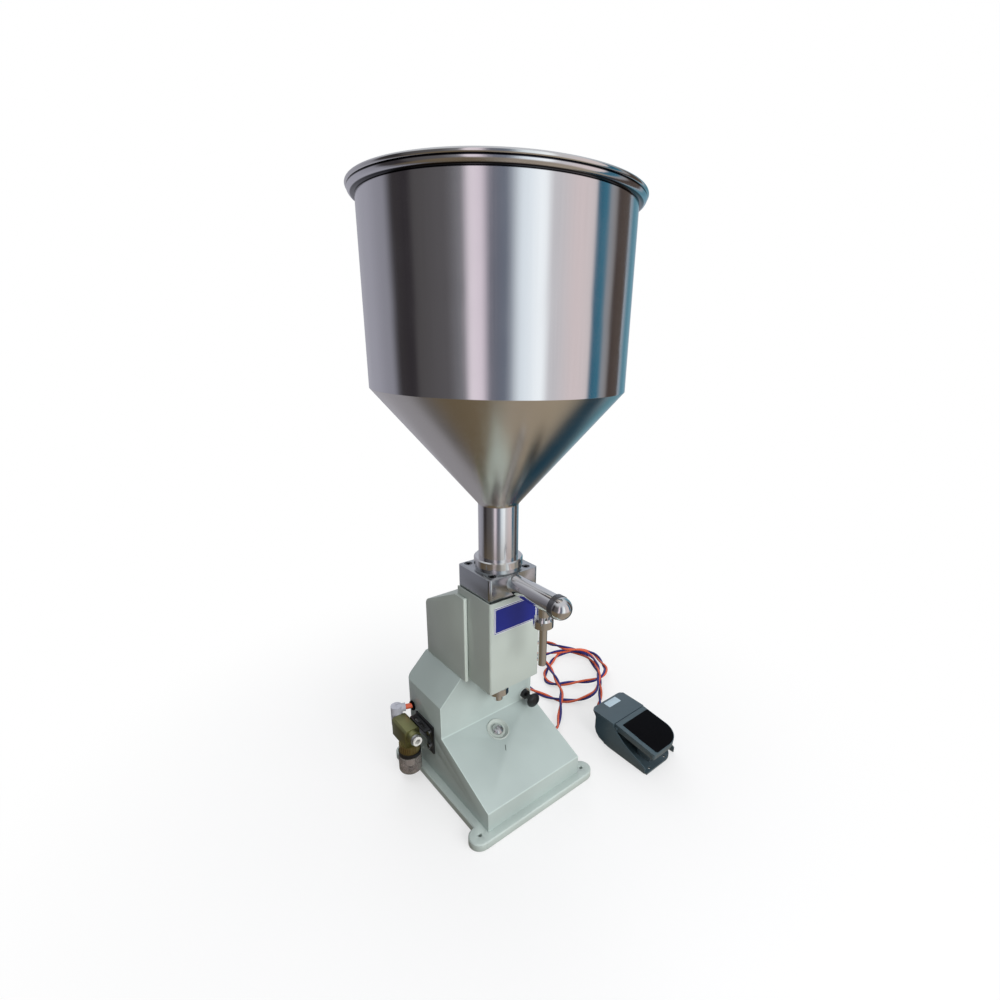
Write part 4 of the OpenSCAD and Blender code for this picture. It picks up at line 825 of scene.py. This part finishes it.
    def floor(self) -> None:
        """A pale floor that fades to white away from the machine.

        Metal mirrors it as a table top near the machine and as the studio's panels further off.
        """
        corners = np.array([[-1, -1], [1, -1], [1, 1], [-1, 1]]) * self.floor_half
        points = np.column_stack([corners, np.full(len(corners), self.floor_low)])
        sheet = mesh_object("floor", points, np.array([[0, 1, 2, 3]]))
        g = Graph(bpy.data.materials.new("floor"))
        x, y, _ = g.split(g.place())
        y = y - AXIS_Y
        reach = g.maths("SQRT", x * x + y * y)
        eye, mirrored, gathered = self.rays(g)
        matt, brown = (g.principled(Base_Color=colour, Roughness=0.9, Specular_IOR_Level=0.0)
                       for colour in (self.floor_pale, self.floor_brown))
        far = g.between(reach, *self.white_reach) * (1 - self.white_share) + self.white_share
        seen = g.either(far * eye, matt, g.glow("ShaderNodeEmission", self.white))
        table = g.mix(g.between(reach, *self.table_reach), self.by_heading(g, x, y, self.table_tones),
                      self.by_heading(g, x, y, self.panel_tones))
        tops = g.glow("ShaderNodeEmission", table)
        g.surface(g.either(mirrored, g.either(gathered, seen, brown), tops))
        sheet.data.materials.append(g.owner)

    def build(self) -> None:
        """Camera, light, world and floor."""
        self.camera()
        self.light()
        self.world()
        self.floor()
        bpy.context.scene.view_settings.view_transform = "Standard"


# Pieces


class Dresser:
    """Gives pieces and CAD nodes their finish, and puts pieces on their body."""

    KEPT: dict[str, tuple[str, ...]] = {
        "sheet_enamel": ("stop_seat",),
        "polished": ("hopper_ring", "drop_nut", "spout_pipe", "product_cylinder", "inlet_poppet",
                     "stem_guides"),
        "polished_y": ("outlet_tube", "outlet_cap", "outlet_poppet"),
        "plated": ("column_frame", "tie_rods", "body_screws", "body_nuts", "air_piston", "pedal_plunger",
                   "air_barrel", "air_caps", "pilot_valve", "pedal_valve", "pilot_spool", "inlet_spring",
                   "outlet_spring", "inlet_fitting", "stop_bolt"),
        "dark_steel": ("block_screws",),
        "collar_steel": ("outlet_collar",),
        "bright": ("piston_rod", "panel_nut", "stroke_nut"),
        "label_blue": ("name_plate",),
        "white_plastic": ("hopper_seal", "product_piston", "filter_element", "inlet_collet"),
        "black_plastic": ("lid_knob", "mode_valve", "mode_knob", "bowl_ring", "drain_valve"),
        "black_rubber": ("rubber_glands",),
        "golden": ("knurled_ring",),
        "smoky_bowl": ("filter_bowl",),
        "pale_plastic": ("outlet_elbow",),
        "orange_tube": ("supply_tube",),
        "pedal_enamel": ("pedal_base", "pedal_pin"),
    }

    def __init__(self, finishes: Finishes) -> None:
        """Keeps the finishes."""
        self.finishes = finishes

    def kept(self) -> None:
        """Gives the CAD nodes that stay their finish."""
        for finish, names in self.KEPT.items():
            for name in names:
                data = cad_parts[name].data
                data.materials.clear()
                data.materials.append(self.finishes[finish])

    def piece(self, obj: bpy.types.Object, finish: str, slot: str, body: str = "machine",
              replaces: Sequence[str] = ()) -> bpy.types.Object:
        """Dresses a new piece and puts it on its body.

        Args:
            obj: The piece.
            finish: Name of its finish.
            slot: Not used.
            body: The CAD body that it rides on.
            replaces: CAD nodes that it stands for.

        Returns:
            The piece.
        """
        obj.data.materials.append(self.finishes[finish])
        if replaces:
            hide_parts(*replaces)
        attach(obj, body)
        log.info("piece %s on %s", obj.name, body)
        return obj


# Route of the hoses in millimetres, from the pedal to the side of the body.
HOSE_ROUTE = (
    (212, -50, 28), (212, -44, 28), (213, -30, 20), (226, -13, 8), (246, 3, 4), (267, 22, 4),
    (286, 42, 4), (303, 63, 4), (317, 90, 4), (323, 119, 4), (309, 145, 4), (281, 152, 4), (246, 138, 4),
    (215, 119, 4), (203, 99, 4), (212, 81, 4), (238, 64, 6), (266, 40, 12), (290, 38, 13), (312, 50, 12),
    (325, 71, 8), (336, 92, 6), (340, 110, 6), (331, 123, 9), (311, 134, 13), (293, 144, 13),
    (276, 156, 11), (258, 174, 4), (247, 191, 4), (254, 209, 4), (274, 216, 4), (290, 204, 6),
    (290, 184, 12), (288, 164, 18), (290, 143, 22), (306, 127, 20), (319, 111, 16), (319, 92, 14),
    (308, 72, 14), (297, 57, 17), (282, 42, 21), (263, 24, 23), (241, 12, 14), (214, 20, 6), (188, 38, 4),
    (172, 68, 4), (164, 102, 4), (165, 134, 4), (180, 160, 4), (204, 172, 5), (226, 166, 9),
    (235, 148, 13), (230, 126, 14), (218, 97, 13), (206, 73, 14), (195, 52, 12), (176, 33, 14),
    (152, 11, 6), (131, -6, 5), (112, -13, 18), (99, -10, 33.5), (92.2, -10, 34),
)


@dataclass
class Hoses:
    """Two thin hoses twisted round each other along one route over the floor."""

    radius: float = 0.002
    apart: float = 0.002
    pitch: float = 0.085
    count: int = 560
    first_count: int = 900

    def path(self, phase: float) -> Array:
        """Centre line of one hose: the route plus apart * (cos * level + sin * upper), one turn a pitch."""
        line = evenly(curve_through(np.array(HOSE_ROUTE) / 1000, self.first_count), self.count)
        steps = np.linalg.norm(np.diff(line, axis=0), axis=1)
        far = np.concatenate([[0], np.cumsum(steps)])
        angle = (2 * np.pi * far / self.pitch + phase)[:, None]
        level, upper = sides_of(directions(line))
        return line + self.apart * (np.cos(angle) * level + np.sin(angle) * upper)

    def build(self, dress: Dresser) -> None:
        for name, finish, phase in (("orange_hose", "orange_tube", 0.0), ("navy_hose", "navy_tube", math.pi)):
            line = self.path(phase)
            piece = dress.piece(tube(name, line, self.radius), finish, "orange_hose", replaces=["hose_pair"])


@dataclass
class Hopper:
    """The hopper's skin, as pipe, cone and wall with its rolled rim, and the lid that rests on it."""

    foot: float = 0.3461
    foot_r: float = 0.028
    foot_high: float = 0.003
    pipe_top: float = 0.4218
    pipe_r: float = 0.0255
    seam: float = 0.5610
    wall_r: float = 0.1446
    crease: float = 0.7435
    rim: float = 0.7495
    flare: float = 0.0074
    sheet: float = 0.0015
    rim_steps: int = 16
    bead: float = 0.0022
    bead_in: float = 0.0009
    bead_turn: tuple[float, float] = (134.0, -185.0)
    bead_steps: int = 40
    lid_edge: float = 0.004
    lid_top: float = 0.0017
    lid_under: float = 0.0014
    gap: float = 0.0004
    lap: float = 0.0008
    corner: float = 0.0006
    cone_steps: int = 24

    def pipe(self) -> tuple[Array, Array]:
        """Outer and inner line of the pipe, with a wider foot for the clamping ring."""
        top, step = self.pipe_top - self.gap, self.foot + self.foot_high
        outer = np.array([[self.foot_r, self.foot], [self.foot_r, step], [self.pipe_r + self.corner, step],
                          [self.pipe_r, step + self.corner], [self.pipe_r, top]])
        return outer, np.array([[self.pipe_r - self.sheet, self.foot], [self.pipe_r - self.sheet, top]])

    def cone(self) -> tuple[Array, Array]:
        """Outer and inner line of the cone, which starts with the low bead of its weld to the pipe."""
        low, high = np.array([self.pipe_r, self.pipe_top]), np.array([self.wall_r, self.seam])
        weld = low + np.array([[-0.0001, -self.gap], [0.0005, -0.0001]])
        outer = np.vstack([weld, low + (high - low) * np.linspace(0.006, 1.0, self.cone_steps)[:, None]])
        inner_r = self.pipe_r - self.sheet
        return outer, np.array([[inner_r, self.pipe_top - self.gap], [inner_r, self.pipe_top + self.lap],
                                [self.wall_r - self.sheet, self.seam + self.lap]])

    def wall(self) -> tuple[Array, Array]:
        """Outer and inner line of the wall and its rim.

        The rim is radius = wall + flare * sin(a), height = crease + rise * (1 - cos(a)), with a from 0 to
        90 degrees, so that it steps out under a shadow and turns upright.
        """
        a = np.radians(np.linspace(0, 90, self.rim_steps))
        out, rise, t = self.flare * np.sin(a), self.rim - self.crease, self.sheet
        roll = np.stack([self.wall_r + out, self.crease + rise * (1 - np.cos(a))], 1)
        back = np.stack([self.wall_r - t + out, self.crease + t + (rise - t) * (1 - np.cos(a))], 1)
        start = [[self.wall_r - 0.0002, self.seam], [self.wall_r, self.seam + self.corner]]
        return np.vstack([start, roll]), np.vstack([[[self.wall_r - t, self.seam + self.lap]], back])

    def lid(self) -> Array:
        """Outline of the lid: a flat disc whose edge is a roll, bead * (cos a, sin a) round its middle."""
        low, high = (float(v[2]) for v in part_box("hopper_lid"))
        middle, level = self.wall_r + self.flare - self.bead_in, low + self.bead
        a = np.radians(np.linspace(*self.bead_turn, self.bead_steps))
        roll = np.stack([middle + self.bead * np.cos(a), level + self.bead * np.sin(a)], 1)
        top = [[0.0, high], [middle - self.lid_edge, level + self.lid_top]]
        return np.vstack([top, roll, [[0.0, level + self.lid_under]]])

    def build(self, dress: Dresser) -> None:
        """Makes the hopper's three parts and the lid."""
        parts = (("hopper_pipe", "pipe_steel", self.pipe()), ("hopper_cone", "hopper_cone", self.cone()),
                 ("hopper_wall", "hopper_wall", self.wall()))
        for name, finish, (outer, inner) in parts:
            piece = turned(name, np.vstack([outer, inner[::-1]]))
            dress.piece(piece, finish, "stainless", replaces=["hopper"])
        dress.piece(turned("lid_skin", self.lid()), "polished", "stainless", "hopper_lid", ["hopper_lid"])


@dataclass
class Housings:
    """Copies of the machine's cast, bent and moulded parts with their edges rounded as the real ones are."""

    parts: tuple = (
        ("body_shell", 0.0011, "body_enamel", "machine", "paint"),
        ("rear_hood", 0.0007, "hood_enamel", "machine", "paint"),
        ("column_cover", 0.0007, "sheet_enamel", "machine", "paint"),
        ("base_plate", 0.0012, "plate_enamel", "machine", "paint"),
        ("valve_block", 0.0006, "milled", "machine", "stainless"),
        ("filter_head", 0.0007, "olive_cast", "machine", "olive"),
        ("filter_bracket", 0.0004, "black_plastic", "machine", "black_plastic"),
        ("pedal_housing", 0.0005, "pedal_enamel", "machine", "pedal_paint"),
        ("pedal_treadle", 0.0005, "pedal_enamel", "pedal_treadle", "pedal_paint"),
        ("pedal_pad", 0.0004, "black_rubber", "pedal_treadle", "rubber"),
    )

    def build(self, dress: Dresser) -> None:
        """Makes each copy and dresses it."""
        for node, width, finish, body, slot in self.parts:
            dress.piece(softened(node, node + "_skin", width), finish, slot, body, [node])


@dataclass
class PedalSticker:
    """A bare pale sticker on the pedal's fixed top."""

    corners: tuple = ((0.1915, -0.0645), (0.1915, -0.0512), (0.2195, -0.0512), (0.2195, -0.0645))
    corner_r: float = 0.0012
    thick: float = 0.00015
    sunk: float = 0.0002
    crown: float = 0.00003
    inset: float = 0.98

    def build(self, dress: Dresser) -> None:
        """Joins a rounded outline just below the pedal's top to its edge, an inner line and its middle."""
        top = float(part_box("pedal_housing")[1][2])
        outline = rounded_outline([(x, y, self.corner_r) for x, y in self.corners][::-1])
        centre, edge = outline.mean(0), top + self.thick
        rings = (
            (outline, top - self.sunk),
            (outline, edge),
            (centre + (outline - centre) * self.inset, edge + self.crown),
            (np.repeat(centre[None], len(outline), 0), edge + self.crown),
        )
        points = np.concatenate([np.column_stack([flat, np.full(len(flat), z)]) for flat, z in rings])
        piece = outward(mesh_object("pedal_sticker", points, ring_faces(len(rings), len(outline), False)))
        dress.piece(piece, "label_pale", "plate_blue")


def main() -> None:
    """Builds every class in order."""
    logging.basicConfig(level=logging.INFO, format="%(name)s: %(message)s")
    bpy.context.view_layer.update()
    Studio().build()
    dress = Dresser(Finishes())
    Hoses().build(dress)
    Hopper().build(dress)
    Housings().build(dress)
    PedalSticker().build(dress)
    dress.kept()


if __name__ == "__main__":
    main()
